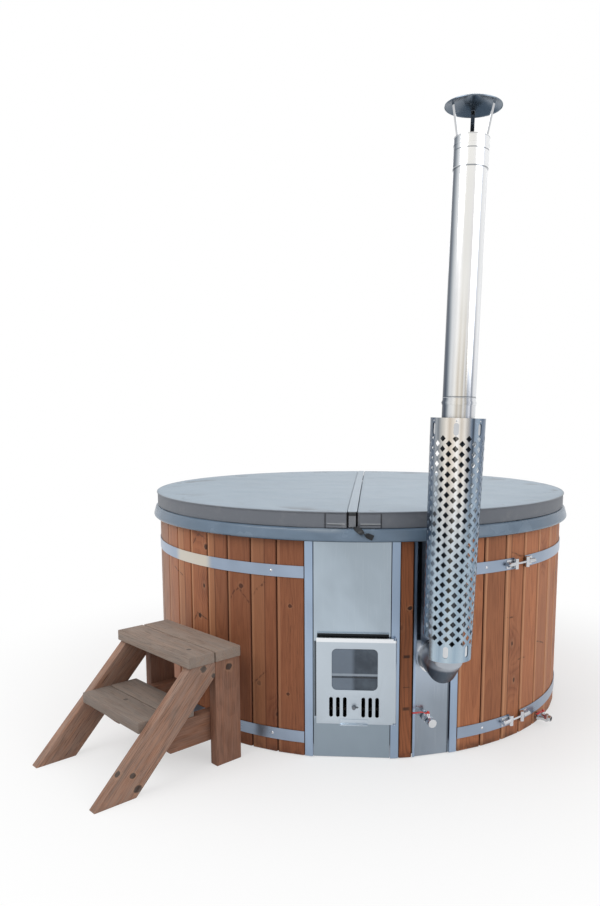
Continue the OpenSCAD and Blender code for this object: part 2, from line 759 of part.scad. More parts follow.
module firebox() color("dimgray") difference() {
    half = firebox_w / 2 + firebox_t;
    union() {
        translate([stove_x - half, -firebox_front, firebox_z - firebox_t])
            cube([2 * half, firebox_d, firebox_h + 2 * firebox_t]);
        translate([stove_x - flange_half, -firebox_front, firebox_z - 22])
            cube([2 * flange_half, flange_t, firebox_h + 44]);
    }
    difference() {
        translate([stove_x - firebox_w / 2, -firebox_front - over, firebox_z])
            cube([firebox_w, firebox_d - firebox_t + over, firebox_h]);
        for (s = [-1, 1]) translate([stove_x + s * (firebox_w / 2 - 6), -firebox_front + firebox_d / 2,
                                     grate_z - seat - ledge_t / 2])
            cube([12, firebox_d - 60, ledge_t], center = true);
    }
    translate([stove_x + half - firebox_t - over, -duct_y, flue_z]) rotate([0, 90, 0])
        cylinder(r = duct_r + fit, h = firebox_t + 2 * over);
}

module water_jacket() color("slategray") difference() {
    union() {
        translate([stove_x - jacket_half, -jacket_front, jacket_low])
            cube([2 * jacket_half, jacket_front - jacket_back + jacket_t, jacket_top - jacket_low]);
        for (x = [-1, 1], y = [jacket_front - 40, jacket_back + 40])
            translate([stove_x + x * (jacket_half - 30) - 15, -y - 15, floor_top])
                cube([30, 30, jacket_low - floor_top + over]);
    }
    translate([stove_x - jacket_half + jacket_t, -jacket_front + jacket_t, jacket_low + jacket_t])
        cube([2 * (jacket_half - jacket_t), jacket_front - jacket_back - jacket_t,
              jacket_top - jacket_low - 2 * jacket_t]);
    translate([stove_x - firebox_w / 2 - firebox_t - fit, -jacket_front - over,
               firebox_z - firebox_t - fit])
        cube([firebox_w + 2 * (firebox_t + fit), jacket_t + 2 * over, firebox_h + 2 * (firebox_t + fit)]);
    translate([stove_x + jacket_half - jacket_t - over, -duct_y, flue_z]) rotate([0, 90, 0])
        cylinder(r = duct_r + fit, h = jacket_t + 2 * over);
    for (i = [0, 1]) translate([(2 * i - 1) * circ_x, -jacket_back - over, circ_z[i]])
        rotate([-90, 0, 0]) cylinder(r = circ_r + fit, h = jacket_t + 2 * over);
    at_az(flue_az) translate([stove_valve_x, -flue_panel_y, stove_drain_z])
        rotate([-90, 0, 0]) cylinder(r = drain_r + fit, h = 120);
}

module fire_grate() color("darkslategray") difference() {
    w = firebox_w - 4;
    l = firebox_d - 70;
    pitch = w / (grate_slots + 1);
    translate([stove_x - w / 2, -firebox_front + (firebox_d - l) / 2, grate_z]) cube([w, l, grate_t]);
    for (i = [1:grate_slots])
        translate([stove_x - w / 2 + i * pitch, -firebox_front + firebox_d / 2, grate_z - over])
            linear_extrude(grate_t + 2 * over) obround(pitch * 0.45, l - 50);
}

// A box beside the jacket takes the smoke from the firebox to the horizontal run
module smoke_box() color("gray") {
    t = 2;
    z0 = flue_z - smoke_half;
    size = [smoke_x1 - smoke_x0, smoke_front - smoke_back, 2 * smoke_half];
    difference() {
        translate([smoke_x0, -smoke_front, z0]) cube(size);
        translate([smoke_x0 + t, -smoke_front + t, z0 + t]) cube(size - [2 * t, 2 * t, 2 * t]);
        translate([smoke_x0 - over, -duct_y, flue_z]) rotate([0, 90, 0])
            cylinder(r = duct_r - t, h = t + 2 * over);
        intersection() {
            flue_frame() translate([0, 160, 0]) rotate([90, 0, 0])
                cylinder(r = flue_r + fit, h = 100, center = true);
            translate([smoke_x0, -smoke_front - 20, z0]) cube([size.x, 40, size.z]);
        }
    }
    translate([smoke_x0 - jacket_t - jacket_gap - firebox_t, -duct_y, flue_z]) rotate([0, 90, 0])
        ring(duct_r, duct_r - t, jacket_t + jacket_gap + firebox_t + t);
}

// Two pipes from the jacket into the foot well, each with a flange on the well's wall
module circulation_pipes() color("silver") {
    flange_r = circ_r + 11;
    flange_h = 5;
    wall_y = sqrt(well_r * well_r - pow(circ_x + flange_r, 2)) - fit;
    for (i = [0, 1]) translate([(2 * i - 1) * circ_x, -wall_y + flange_h, circ_z[i]])
        rotate([90, 0, 0]) {
            ring(circ_r, circ_r - 2, jacket_back - wall_y + flange_h + over);
            ring(flange_r, circ_r - over, flange_h);
        }
}

// --- Flue ---

// The flue's own frame: the horizontal run goes out along -Y, the upright along +Z
module flue_frame() translate(concat(polar(board_r, flue_az), flue_z)) rotate([0, 0, flue_yaw])
    rotate([0, flue_lean, 0]) children();

module upright() flue_frame() translate([0, -flue_reach, 0]) children();

module flue_stub() color("gray") flue_frame() rotate([90, 0, 0])
    translate([0, 0, -stub_in]) ring(flue_r, flue_in, stub_in + flue_reach - elbow_r - 12);

module flue_collar() color("silver") difference() {
    at_az(flue_az) translate([0, -flue_panel_y - 0.1, flue_z]) rotate([90, 0, 0])
        cylinder(r = flue_r + 9, h = 7);
    flue_frame() rotate([90, 0, 0]) cylinder(r = flue_r + fit, h = 120, center = true);
}

// One straight piece of the elbow, between two mitre cuts seen from the bend's centre
module gore(a0, a1, r_out, r_in) {
    reach = elbow_r + r_out + 40;
    lap = 0.1;
    aim = a0 == 0 ? 0 : a1 == 90 ? 90 : (a0 + a1) / 2;
    intersection() {
        rotate([0, 0, aim]) translate([elbow_r, 0, 0]) rotate([90, 0, 0]) difference() {
            cylinder(r = r_out, h = reach, center = true);
            cylinder(r = r_in, h = reach + 2, center = true);
        }
        translate([0, 0, -r_out - over]) linear_extrude(2 * (r_out + over))
            polygon(reach * [[0, 0], [cos(a0 - lap), sin(a0 - lap)], [cos(a1 + lap), sin(a1 + lap)]]);
    }
}

// A mitred elbow of three pieces with a socket at each end
module flue_elbow() color("gray") flue_frame() {
    in_r = flue_r + fit;
    translate([0, -(flue_reach - elbow_r), elbow_r]) rotate([90, 0, -90]) rotate(-90)
        for (a = [[0, 22.5], [22.5, 67.5], [67.5, 90]]) gore(a[0], a[1], socket_r, in_r);
    translate([0, -flue_reach, elbow_r - over]) ring(socket_r, in_r, socket_l + over);
    translate([0, -(flue_reach - elbow_r) - over, 0]) rotate([-90, 0, 0])
        ring(socket_r, in_r, socket_l + over);
}

module lower_pipe() color("gainsboro") upright() translate([0, 0, elbow_r + 3])
    ring(flue_r, flue_in, joint_up - elbow_r - 3 - 0.2);

module pipe_clamp() color("silver") upright() translate([0, 0, joint_up - 7])
    difference() {
        union() {
            cylinder(r = flue_r + 2, h = 14);
            translate([0, 0, 5]) cylinder(r = flue_r + 3.5, h = 4);
            translate([-3, flue_r, 1]) cube([6, 16, 12]);
        }
        translate([0, 0, -over]) cylinder(r = flue_r + fit, h = 14 + 2 * over);
    }

module upper_pipe() color("gainsboro") upright() translate([0, 0, joint_up])
    ring(flue_r, flue_in, sleeve_low + 50 - joint_up);

module top_sleeve() color("white") upright() difference() {
    union() {
        translate([0, 0, sleeve_low]) cylinder(r = socket_r, h = sleeve_l);
        translate([0, 0, flue_top - 29]) cylinder(r = socket_r + 1, h = 4);
    }
    translate([0, 0, sleeve_low - over]) cylinder(r = flue_r + fit, h = sleeve_l + 2 * over);
}

function cone_z(r) = cap_z + cap_h * (1 - r / cap_r);

// Flat legs stand on the flue's wall, splay outwards and turn in under the cone
module cap_legs() color("gainsboro") upright() for (a = [-60, 60, 180]) at_az(a + cap_leg_turn) {
    t = cap_leg_t;
    foot = flue_r - 0.6;
    head = cap_leg_reach;
    toe = head - 14;
    rotate([90, 0, 90]) translate([0, 0, -cap_leg_w / 2]) linear_extrude(cap_leg_w)
        polygon([[-foot, flue_top - 52], [t - foot, flue_top - 52], [t - foot, flue_top],
                 [t - head, cone_z(head - t) - 6], [-toe, cone_z(toe) - t - fit],
                 [-toe, cone_z(toe) - fit], [-head, cone_z(head) - fit], [-foot, flue_top + t]]);
}

module rain_cap() color("slategray") upright() rotate_extrude($fn = 96)
    polygon([[0, cap_z + cap_h], [cap_r, cap_z], [cap_r + 1.5, cap_z - 3], [cap_r + 3, cap_z - 2],
             [cap_r + 3, cap_z + 1], [cap_r + 1, cap_z + cone_t + 1], [0, cap_z + cap_h + cone_t * 1.1]]);

// --- Heat shield ---

function shield_r(z) = shield_low_r + (shield_top_r - shield_low_r) * (z - shield_up) / shield_l;

module diamond(z, a) at_az(a) translate([0, 8 - shield_r(z), z]) rotate([90, 0, 0]) linear_extrude(16)
    polygon([[diamond_w / 2, 0], [0, diamond_h / 2], [-diamond_w / 2, 0], [0, -diamond_h / 2]]);

// A row's holes. The lowest row is in line with the slots and leaves their places free, and
// no hole comes near the notch or the open back
function row_az(row) =
    let (z = diamond_z0 + row * diamond_row, side = asin(diamond_w / 2 / shield_low_r),
         end = z - diamond_h < shield_up + notch_h ? notch_az - 2 : shield_half - 1)
    [for (i = [-12:12]) let (a = (i + (row % 2 == 0 ? 0.5 : 0)) * diamond_az)
        if (abs(a) + side < end && (row > 0 || min([for (s = slots_low) abs(a - s)]) > 1)) a];

// A rolled sheet, open at the back and slightly wider at the top, pierced by a staggered
// lattice of diamonds between two plain bands with a slot for each bracket
module heat_shield() color("lightgray") upright() at_az(shield_yaw) difference() {
    rotate_extrude(angle = 2 * shield_half, start = -90 - shield_half, $fn = 96)
        polygon([[shield_low_r - shield_t, shield_up], [shield_low_r, shield_up],
                 [shield_top_r, shield_top], [shield_top_r - shield_t, shield_top]]);
    for (row = [0:diamond_rows], a = row_az(row)) diamond(diamond_z0 + row * diamond_row, a);
    for (s = slots) at_az(s[0]) translate([0, 0, s[1]])
        wall_cut(-shield_top_r - 5, 30) obround(slot_w, slot_h);
    translate([-shield_top_r, -shield_low_r * cos(notch_az), shield_up - over])
        cube([2 * shield_top_r, 2 * shield_top_r, notch_h + over]);
}

// Rods from the pipe to tabs behind the shield's slots
module shield_brackets() color("silver") upright() at_az(shield_yaw)
    for (s = slots) at_az(s[0]) {
        z = s[1];
        tab_w = slot_w + 8;
        tab_h = slot_h + 10;
        inner = shield_r(z - tab_h / 2) - shield_t - fit;
        back = sqrt(inner * inner - tab_w * tab_w / 4) - 1.5;
        pipe_r = (z - bracket_r < elbow_r + socket_l ? socket_r : flue_r) + fit;
        translate([-tab_w / 2, -back - 1.5, z - tab_h / 2]) cube([tab_w, 1.5, tab_h]);
        translate([0, -pipe_r, z]) rotate([90, 0, 0])
            cylinder(r = bracket_r, h = back - pipe_r + over / 2, $fn = 32);
    }

// --- Drain valves ---

// The valve's frame: the flow runs out along -Y from the wall
module valve_body() {
    rotate([90, 0, 0]) difference() {
        union() {
            translate([0, 0, 9]) cylinder(r = valve_r + 2.5, h = 12, $fn = 6);
            translate([0, 0, 20]) cylinder(r = valve_r, h = 28);
            translate([0, 0, 47]) cylinder(r = valve_r + 2.5, h = 11, $fn = 6);
            translate([0, 0, 57]) cylinder(r = drain_r, h = 15);
        }
        translate([0, 0, 8]) cylinder(r = drain_r + 0.1, h = 14 - 0.1);
        cylinder(r = drain_r - 4, h = 80);
    }
    translate([0, -valve_out, valve_r - 2]) cylinder(r = 8, h = stem_h - valve_r + 2 - fit);
}

// The lever lies to the left at rest, across the flow, and turns on the stem
module valve_lever() translate([0, -valve_out, stem_h]) {
    cylinder(r = lever_w / 2, h = lever_t);
    translate([0, 0, lever_t - 0.1]) cylinder(r = 5.5, h = 5, $fn = 6);
    translate([-16, -lever_w / 2 + 1, 0]) cube([16, lever_w - 2, lever_t]);
    translate([-16, lever_w / 2 - 1, 0]) rotate([90, 0, 0]) linear_extrude(lever_w - 2)
        polygon([[0, 0], [0, lever_t], [-8, lever_t + 6], [-lever_l + 16, lever_t + 6],
                 [-lever_l + 16, 6], [-7, 6]]);
}

module at_stove_valve() at_az(flue_az) translate([stove_valve_x, -flue_panel_y, stove_drain_z]) children();
module at_tub_valve() at_az(tub_drain_az) translate([0, -board_r, tub_drain_z]) children();

module stove_drain_pipe() color("darkgray") at_stove_valve() rotate([90, 0, 0])
    translate([0, 0, -96]) ring(drain_r, drain_r - 2.5, 96 + 20);

module stove_valve() color("silver") at_stove_valve() valve_body();
module stove_valve_lever() color("firebrick") at_stove_valve() valve_lever();

module drain_cap() color("whitesmoke") at_stove_valve() rotate([90, 0, 0]) difference() {
    translate([0, 0, 58.4]) cylinder(r = drain_r + 4, h = 22);
    translate([0, 0, 58.4 - over]) cylinder(r = drain_r + fit, h = 15 + over);
    for (i = [0:11]) rotate(i * 30) translate([drain_r + 4.6, 0, 60]) cylinder(r = 1.6, h = 30, $fn = 16);
}

// From the flanged outlet in the foot well, under the floor and out through the boards
module tub_drain_pipe() color("darkgray") {
    at_az(tub_drain_az) translate([0, -drain_at, tub_drain_z]) rotate([90, 0, 0])
        ring(drain_r, drain_r - 2.5, board_r - drain_at + 20);
    translate(concat(polar(drain_at, tub_drain_az), tub_drain_z - drain_r))
        ring(drain_r, drain_r - 2.5, floor_top + liner_t - tub_drain_z + drain_r + 3);
    translate(concat(polar(drain_at, tub_drain_az), floor_top + liner_t + 0.1))
        ring(drain_r + 18, drain_r - 2.5, 4);
}

module tub_valve() color("silver") at_tub_valve() valve_body();
module tub_valve_lever() color("orangered") at_tub_valve() valve_lever();

// --- Cover ---

// Upright side, rounded foot, piping round the upper edge and a slightly crowned top
module cover_profile() {
    polygon(concat([[0, cover_low]],
        arc([cover_r - cover_foot, cover_low + cover_foot], cover_foot, 270, 360, 4),
        [[cover_r, cover_edge - 3 * piping_r]],
        arc([cover_r - piping_r, cover_edge - piping_r], piping_r, -20, 160, 6),
        [[cover_r - 3 * piping_r, cover_edge - piping_r / 2], [0, cover_top]]));
}

// A stitched hand pocket on the front of a half, with its grip
module pocket(side) {
    near = asin((cover_gap / 2 + 4) / cover_r);
    span = 2 * asin(pocket_w / 2 / cover_r);
    mid = side * (near + span / 2);
    translate([0, 0, pocket_low + pocket_h / 2])
        band(cover_r - over, cloth_t + over, pocket_h, mid - span / 2, mid + span / 2);
    translate([0, 0, pocket_low + pocket_h / 3])
        band(cover_r, 2 * cloth_t, pocket_h / 5, mid - span / 2 + 0.4, mid + span / 2 - 0.4);
}

module cover_half(side) color("dimgray") {
    intersection() {
        rotate_extrude($fn = 180) cover_profile();
        translate([side > 0 ? cover_gap / 2 : -cover_r - over, -cover_r - over, cover_low - over])
            cube([cover_r + over - cover_gap / 2, 2 * (cover_r + over), cover_t + cover_crown + 2 * over]);
    }
    pocket(side);
}

module cover_left() cover_half(-1);
module cover_right() cover_half(1);

// The folding strip between the halves, which turns down in a flap at each end
module cover_fold() color("gray") {
    w = cover_gap - 2 * fit;
    r = cover_r - piping_r;
    rise = 4;
    intersection() {
        translate([-w / 2, -cover_r, cover_low + rise]) cube([w, 2 * cover_r, cover_t - rise]);
        translate([0, 0, cover_low]) difference() {
            cylinder(r = r, h = cover_t, $fn = 180);
            translate([0, 0, -over]) cylinder(r = r - cloth_t, h = cover_t - cloth_t + over, $fn = 180);
        }
    }
}

// A strap end that lies over the rim at the cover's front
module cover_strap() color("gray") {
    near = rim_roll + 2 * fit;
    far = near + cloth_t;
    side = cover_r + fit;
    c = [max(rim_r - rim_roll - 8, side - 0.9 * near), tub_h - rim_roll];
    from = side > c.x ? acos((side - c.x) / near) : 90;
    top = cover_low + cover_foot + 3;
    tail = [c.x + near + 5.4, lip_low + 20];
    rotate_extrude(angle = 4.1, start = -89.6, $fn = 180) polygon(concat(
        [[side, top]], arc(c, near, from, 10, 6), [tail, tail + [cloth_t, 0]],
        arc(c, far, 10, 60, 5), [[side + cloth_t, top]]));
}

// --- Steps ---

module in_steps() rotate([0, 0, steps_yaw]) translate([steps_side, 0, 0]) children();

// Extrudes a side view, drawn as distance from the axis and height, into a plank
module side_plank(x, t, points) translate([x, 0, 0]) rotate([90, 0, 90]) linear_extrude(t) polygon(points);

// A raking side: cut level at the ground and under the tread, and upright against its post
module rake_side(x) {
    foot = plank_w / sin(rake);
    end = post_front - seat;
    color("saddlebrown") in_steps() side_plank(x, plank_t,
        [[rake_foot, 0], [rake_foot + foot, 0], [end, (end - rake_foot - foot) * tan(rake)],
         [end, tread_high], [rake_top, tread_high]]);
}

module step_left_side() rake_side(-steps_w / 2);
module step_right_side() rake_side(post_x);

module step_posts() color("saddlebrown") in_steps() for (x = [-steps_w / 2, post_x])
    translate([x, post_front, 0]) cube([plank_t, plank_w, tread_high]);

// Rails on the inner faces, from the posts to the raking sides, carry the lower tread
module step_rails() color("saddlebrown") in_steps()
    for (x = [-post_x + seat, post_x - plank_t - seat])
        side_plank(x, plank_t, [[post_back, rail_low], [rail_front + plank_w, rail_low],
                                [rail_front, tread_low], [post_back, tread_low]]);

module tread(front, z, w) color("peru") in_steps() for (i = [0, 1])
    translate([-w / 2, front + i * (plank_w + tread_gap), z + seat]) cube([w, plank_w, plank_t]);

module upper_tread() tread(upper_front, tread_high, steps_w + 2 * tread_side);
module lower_tread() tread(rail_front - tread_nose, tread_low, 2 * (post_x - fit));

base_joists();
floor_board();
liner();
top_ring();
boards();
narrow_board();
upper_hoop();
lower_hoop();
upper_hoop_lugs();
lower_hoop_lugs();
upper_hoop_bolt();
lower_hoop_bolt();
hoop_screws();
stove_panel();
flue_panel();
stove_panel_strips();
flue_panel_strips();
stove_door();
door_glass();
glass_retainer();
door_pull();
air_slide();
air_slide_guides();
hinge_rod();
hinge_ears();
firebox();
water_jacket();
fire_grate();
smoke_box();
circulation_pipes();
flue_stub();
flue_collar();
flue_elbow();
lower_pipe();
pipe_clamp();
upper_pipe();
top_sleeve();
cap_legs();
rain_cap();
heat_shield();
shield_brackets();
stove_drain_pipe();
stove_valve();
stove_valve_lever();
drain_cap();
tub_drain_pipe();
tub_valve();
tub_valve_lever();
cover_left();
cover_right();
cover_fold();
cover_strap();
step_left_side();
step_right_side();
step_posts();
step_rails();
upper_tread();
lower_tread();
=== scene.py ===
"""Looks of a round wooden hot tub with a built-in wood stove, a flue and steps.

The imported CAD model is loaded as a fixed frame. Rigid parts keep their CAD shape and get a
material, planks get eased copies, and the cover is modelled here as padded cloth.
"""

from __future__ import annotations

import logging
import math
from dataclasses import dataclass, field
from enum import Enum
from typing import Callable, Iterable, Sequence, Union

import bmesh
import bpy
from mathutils import Matrix, Vector, noise

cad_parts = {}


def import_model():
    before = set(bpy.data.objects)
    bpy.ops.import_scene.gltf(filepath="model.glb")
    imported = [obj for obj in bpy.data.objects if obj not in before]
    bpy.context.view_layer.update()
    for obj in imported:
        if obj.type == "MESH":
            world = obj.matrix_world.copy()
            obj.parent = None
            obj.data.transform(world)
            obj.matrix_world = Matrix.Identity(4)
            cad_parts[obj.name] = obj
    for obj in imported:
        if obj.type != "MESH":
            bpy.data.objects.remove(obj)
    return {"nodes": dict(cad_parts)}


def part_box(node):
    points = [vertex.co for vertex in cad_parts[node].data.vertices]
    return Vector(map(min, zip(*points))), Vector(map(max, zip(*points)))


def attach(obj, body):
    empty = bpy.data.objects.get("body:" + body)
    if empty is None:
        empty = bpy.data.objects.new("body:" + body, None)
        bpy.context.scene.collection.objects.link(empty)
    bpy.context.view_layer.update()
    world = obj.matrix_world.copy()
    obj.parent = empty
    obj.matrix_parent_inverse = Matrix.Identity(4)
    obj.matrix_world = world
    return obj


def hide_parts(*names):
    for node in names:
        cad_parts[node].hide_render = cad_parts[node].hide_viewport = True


LOG = logging.getLogger("hot_tub")
Point = tuple[float, float, float]
Colour = tuple[float, float, float, float]
Fade = tuple[float, float, float, float]
Stops = tuple[tuple[float, str], ...]


# --- Shader graphs ---


class Signal:
    """A node's output socket, used in Python sums."""

    def __init__(self, graph: "Graph", socket: bpy.types.NodeSocket) -> None:
        """Wraps a socket.

        Args:
            graph: The graph that the socket is in.
            socket: An output socket.
        """
        self.graph = graph
        self.socket = socket

    def _math(self, operation: str, *terms: "Term") -> "Signal":
        """Adds a Math node.

        Args:
            operation: The node's operation.
            terms: Its inputs, in order.

        Returns:
            The node's result.
        """
        made = self.graph.node("ShaderNodeMath", {"operation": operation}, dict(enumerate(terms)))
        return made["Value"]

    def __add__(self, other: "Term") -> "Signal":
        """Sum."""
        return self._math("ADD", self, other)

    __radd__ = __add__

    def __sub__(self, other: "Term") -> "Signal":
        """Difference."""
        return self._math("SUBTRACT", self, other)

    def __rsub__(self, other: "Term") -> "Signal":
        """Reflected difference."""
        return self._math("SUBTRACT", other, self)

    def __mul__(self, other: "Term") -> "Signal":
        """Product."""
        return self._math("MULTIPLY", self, other)

    __rmul__ = __mul__

    def __truediv__(self, other: "Term") -> "Signal":
        """Quotient."""
        return self._math("DIVIDE", self, other)

    def __pow__(self, other: "Term") -> "Signal":
        """Power."""
        return self._math("POWER", self, other)

    def __mod__(self, other: "Term") -> "Signal":
        """Remainder that is never negative."""
        return self._math("FLOORED_MODULO", self, other)

    def __abs__(self) -> "Signal":
        """Size without its sign."""
        return self._math("ABSOLUTE", self)

    def floor(self) -> "Signal":
        """Whole part."""
        return self._math("FLOOR", self)

    def sine(self) -> "Signal":
        """Sine of an angle in radians."""
        return self._math("SINE", self)

    def angle(self, other: "Term") -> "Signal":
        """Angle of the point (other, self) in radians."""
        return self._math("ARCTAN2", self, other)

    def larger(self, other: "Term") -> "Signal":
        """The larger of two values."""
        return self._math("MAXIMUM", self, other)

    def between(self, fade: Fade) -> "Signal":
        """1 between the second and third of four rising values, and 0 outside the outer two."""
        return self.rise(fade[0], fade[1]) * self.rise(fade[3], fade[2])

    def rise(self, low: float, high: float) -> "Signal":
        """Smooth step.

        Args:
            low: The value that gives 0.
            high: The value that gives 1. It may be below low.

        Returns:
            A value from 0 to 1.
        """
        inputs = {"Value": self, "From Min": low, "From Max": high, "To Min": 0.0, "To Max": 1.0}
        made = self.graph.node("ShaderNodeMapRange", {"interpolation_type": "SMOOTHSTEP"}, inputs)
        return made["Result"]

    def spread(self, low: float, high: float) -> "Signal":
        """A value from 0 to 1 turned into one from low to high."""
        return self * (high - low) + low


Term = Union[Signal, float, int]


class Made:
    """A node that has been added, whose outputs are read by name."""

    def __init__(self, graph: "Graph", node: bpy.types.Node) -> None:
        """Wraps a node of a graph."""
        self.graph = graph
        self.node = node

    def __getitem__(self, name: Union[str, int]) -> Signal:
        """The output of that name or number."""
        return Signal(self.graph, self.node.outputs[name])


class Graph:
    """The node tree of a material or of the world."""

    def __init__(self, owner: Union[bpy.types.Material, bpy.types.World]) -> None:
        """Empties the owner's tree.

        Args:
            owner: A new material or world.
        """
        owner.use_nodes = True
        self.tree = owner.node_tree
        self.tree.nodes.clear()

    def node(self, kind: str, settings: dict | None = None, inputs: dict | None = None) -> Made:
        """Adds a node of any kind.

        Args:
            kind: The node's type name.
            settings: Its settings. A ramp's stops are a list of (place, colour).
            inputs: Values or signals for its inputs, by name or number.

        Returns:
            The node.
        """
        node = self.tree.nodes.new(kind)
        for name, value in (settings or {}).items():
            if name == "stops":
                self._set_stops(node.color_ramp, value)
            else:
                setattr(node, name, value)
        for name, value in (inputs or {}).items():
            if isinstance(value, Signal):
                self.tree.links.new(value.socket, node.inputs[name])
            else:
                node.inputs[name].default_value = value
        return Made(self, node)

    @staticmethod
    def _set_stops(ramp: bpy.types.ColorRamp, stops: Sequence[tuple[float, Colour]]) -> None:
        """Gives a ramp its stops.

        Args:
            ramp: The ramp of a new node.
            stops: The place and the colour of each stop, in rising order.
        """
        while len(ramp.elements) > 1:
            ramp.elements.remove(ramp.elements[-1])
        for i, (place, colour) in enumerate(stops):
            stop = ramp.elements[0] if i == 0 else ramp.elements.new(place)
            stop.position = place
            stop.color = colour

    def place(self) -> Signal:
        """The surface point in the object's coordinates, in metres."""
        return self.node("ShaderNodeTexCoord")["Object"]

    def turned(self, vector: Signal, turns: Iterable[Point]) -> Signal:
        """Turns a vector.

        Args:
            vector: The vector.
            turns: Euler angles in degrees, one turn after another.

        Returns:
            The turned vector.
        """
        for turn in turns:
            angles = tuple(math.radians(a) for a in turn)
            inputs = {"Vector": vector, "Rotation": angles}
            vector = self.node("ShaderNodeMapping", None, inputs)["Vector"]
        return vector

    def parts(self, vector: Signal) -> tuple[Signal, Signal, Signal]:
        """The three numbers of a vector."""
        made = self.node("ShaderNodeSeparateXYZ", None, {0: vector})
        return made["X"], made["Y"], made["Z"]

    def vector(self, x: Term, y: Term, z: Term) -> Signal:
        """A vector of three values."""
        return self.node("ShaderNodeCombineXYZ", None, {0: x, 1: y, 2: z})["Vector"]

    def within(self, frame: Matrix) -> tuple[Signal, Signal, Signal]:
        """The surface point in the coordinates of another frame.

        Args:
            frame: The frame's place in the object's coordinates.

        Returns:
            The point's three numbers there.
        """
        x, y, z = self.parts(self.place())
        rows = frame.inverted()
        a, b, c = (x * row[0] + y * row[1] + z * row[2] + row[3] for row in rows[:3])
        return a, b, c

    def ramp(self, value: Signal, stops: Sequence[tuple[float, str]]) -> Signal:
        """A colour that follows a value from 0 to 1 by stops of (value, colour code)."""
        coded = [(place, tone(code)) for place, code in stops]
        return self.node("ShaderNodeValToRGB", {"stops": coded}, {"Fac": value})["Color"]

    def noise(self, vector: Signal, scale: float, detail: float = 3.0,
              rough: float = 0.5) -> Signal:
        """Soft noise round 0.5.

        Args:
            vector: Where it is read.
            scale: How many features there are in a metre.
            detail: How many finer layers it has.
            rough: How strong the finer layers are.

        Returns:
            A value from 0 to 1.
        """
        inputs = {"Vector": vector, "Scale": scale, "Detail": detail, "Roughness": rough}
        return self.node("ShaderNodeTexNoise", {"noise_dimensions": "3D"}, inputs)["Fac"]

    def chance(self, value: Signal) -> Signal:
        """A fixed random value from 0 to 1 for each value."""
        settings = {"noise_dimensions": "1D"}
        return self.node("ShaderNodeTexWhiteNoise", settings, {"W": value})["Value"]

    def cells(self, vector: Signal, scale: float) -> tuple[Signal, Signal]:
        """Distance to the nearest of the points scattered over a plane, and that point's chance.

        Args:
            vector: Where it is read. Its third number has no part in it.
            scale: How many points there are in a metre.

        Returns:
            The distance in cells, and the value from 0 to 1.
        """
        made = self.node("ShaderNodeTexVoronoi", {"voronoi_dimensions": "2D"},
                         {"Vector": vector, "Scale": scale})
        return made["Distance"], self.parts(made["Color"])[0]

    def mix(self, low: Union[Signal, Colour], high: Union[Signal, Colour], share: Term,
            way: str = "MIX") -> Signal:
        """Mixes two colours.

        Args:
            low: The colour at share 0.
            high: The colour at share 1.
            share: The share of the second one.
            way: The blend type.

        Returns:
            The colour.
        """
        made = self.node("ShaderNodeMix", {"data_type": "RGBA", "blend_type": way},
                         {0: share, 6: low, 7: high})
        return made[2]

    def shade(self, colour: Union[Signal, Colour], factor: Signal) -> Signal:
        """A colour made lighter or darker by a factor."""
        base = colour if isinstance(colour, Signal) else colour[:3]
        return self.node("ShaderNodeVectorMath", {"operation": "SCALE"},
                         {"Vector": base, "Scale": factor})["Vector"]

    def bump(self, height: Signal, depth: float) -> Signal:
        """A bumped normal.

        Args:
            height: A value from 0 to 1.
            depth: The height of 1, in metres.

        Returns:
            The normal.
        """
        return self.node("ShaderNodeBump", None,
                         {"Height": height, "Distance": depth, "Strength": 1.0})["Normal"]

    def surface(self, **sockets: object) -> None:
        """Ends a material with a Principled shader.

        Args:
            sockets: Values or signals by the shader's socket names, with _ for a space.
        """
        named = {name.replace("_", " "): value for name, value in sockets.items()}
        shader = self.node("ShaderNodeBsdfPrincipled", None, named)["BSDF"]
        self.output(shader)

    def output(self, shader: Signal) -> None:
        """Ends a material with a shader."""
        self.node("ShaderNodeOutputMaterial", None, {"Surface": shader})


def linear(channel: float) -> float:
    """A channel from 0 to 1 as written in sRGB, in Blender's linear values."""
    return channel / 12.92 if channel <= 0.04045 else ((channel + 0.055) / 1.055) ** 2.4


def tone(code: str) -> Colour:
    """A linear colour written as six hexadecimal digits of sRGB."""
    return (*(linear(int(code[i:i + 2], 16) / 255) for i in (0, 2, 4)), 1.0)


def grey(level: float) -> Colour:
    """A linear grey."""
    return (level, level, level, 1.0)


# --- Finishes ---

Grain = tuple[Signal, Signal, Signal, Signal]  # across, through and along a plank, and its number


@dataclass(frozen=True)
class Stain:
    """A colour that a surface takes in one region, which fades in and out: real marks, and painted
    light and shade.

    Attributes:
        colour: The colour.
        share: How strong it is in the region's middle, from 0 to 1.
        x: Where it fades in and out along X, in metres.
        z: The same along Z.
        turn: The same by angle from the front, in degrees.
    """

    colour: str
    share: float = 0.8
    x: Fade | None = None
    z: Fade | None = None
    turn: Fade | None = None

    def strength(self, graph: Graph) -> Signal:
        """How much of the colour there is at a point.

        Args:
            graph: The material's graph.

        Returns:
            A value from 0 to the region's share.
        """
        x, y, z = graph.parts(graph.place())
        found = z * 0.0 + self.share
        if self.x:
            found = found * x.between(self.x)
        if self.z:
            found = found * z.between(self.z)
        if self.turn:
            found = found * (x.angle(y * -1.0) * (360 / math.tau)).between(self.turn)
        return found


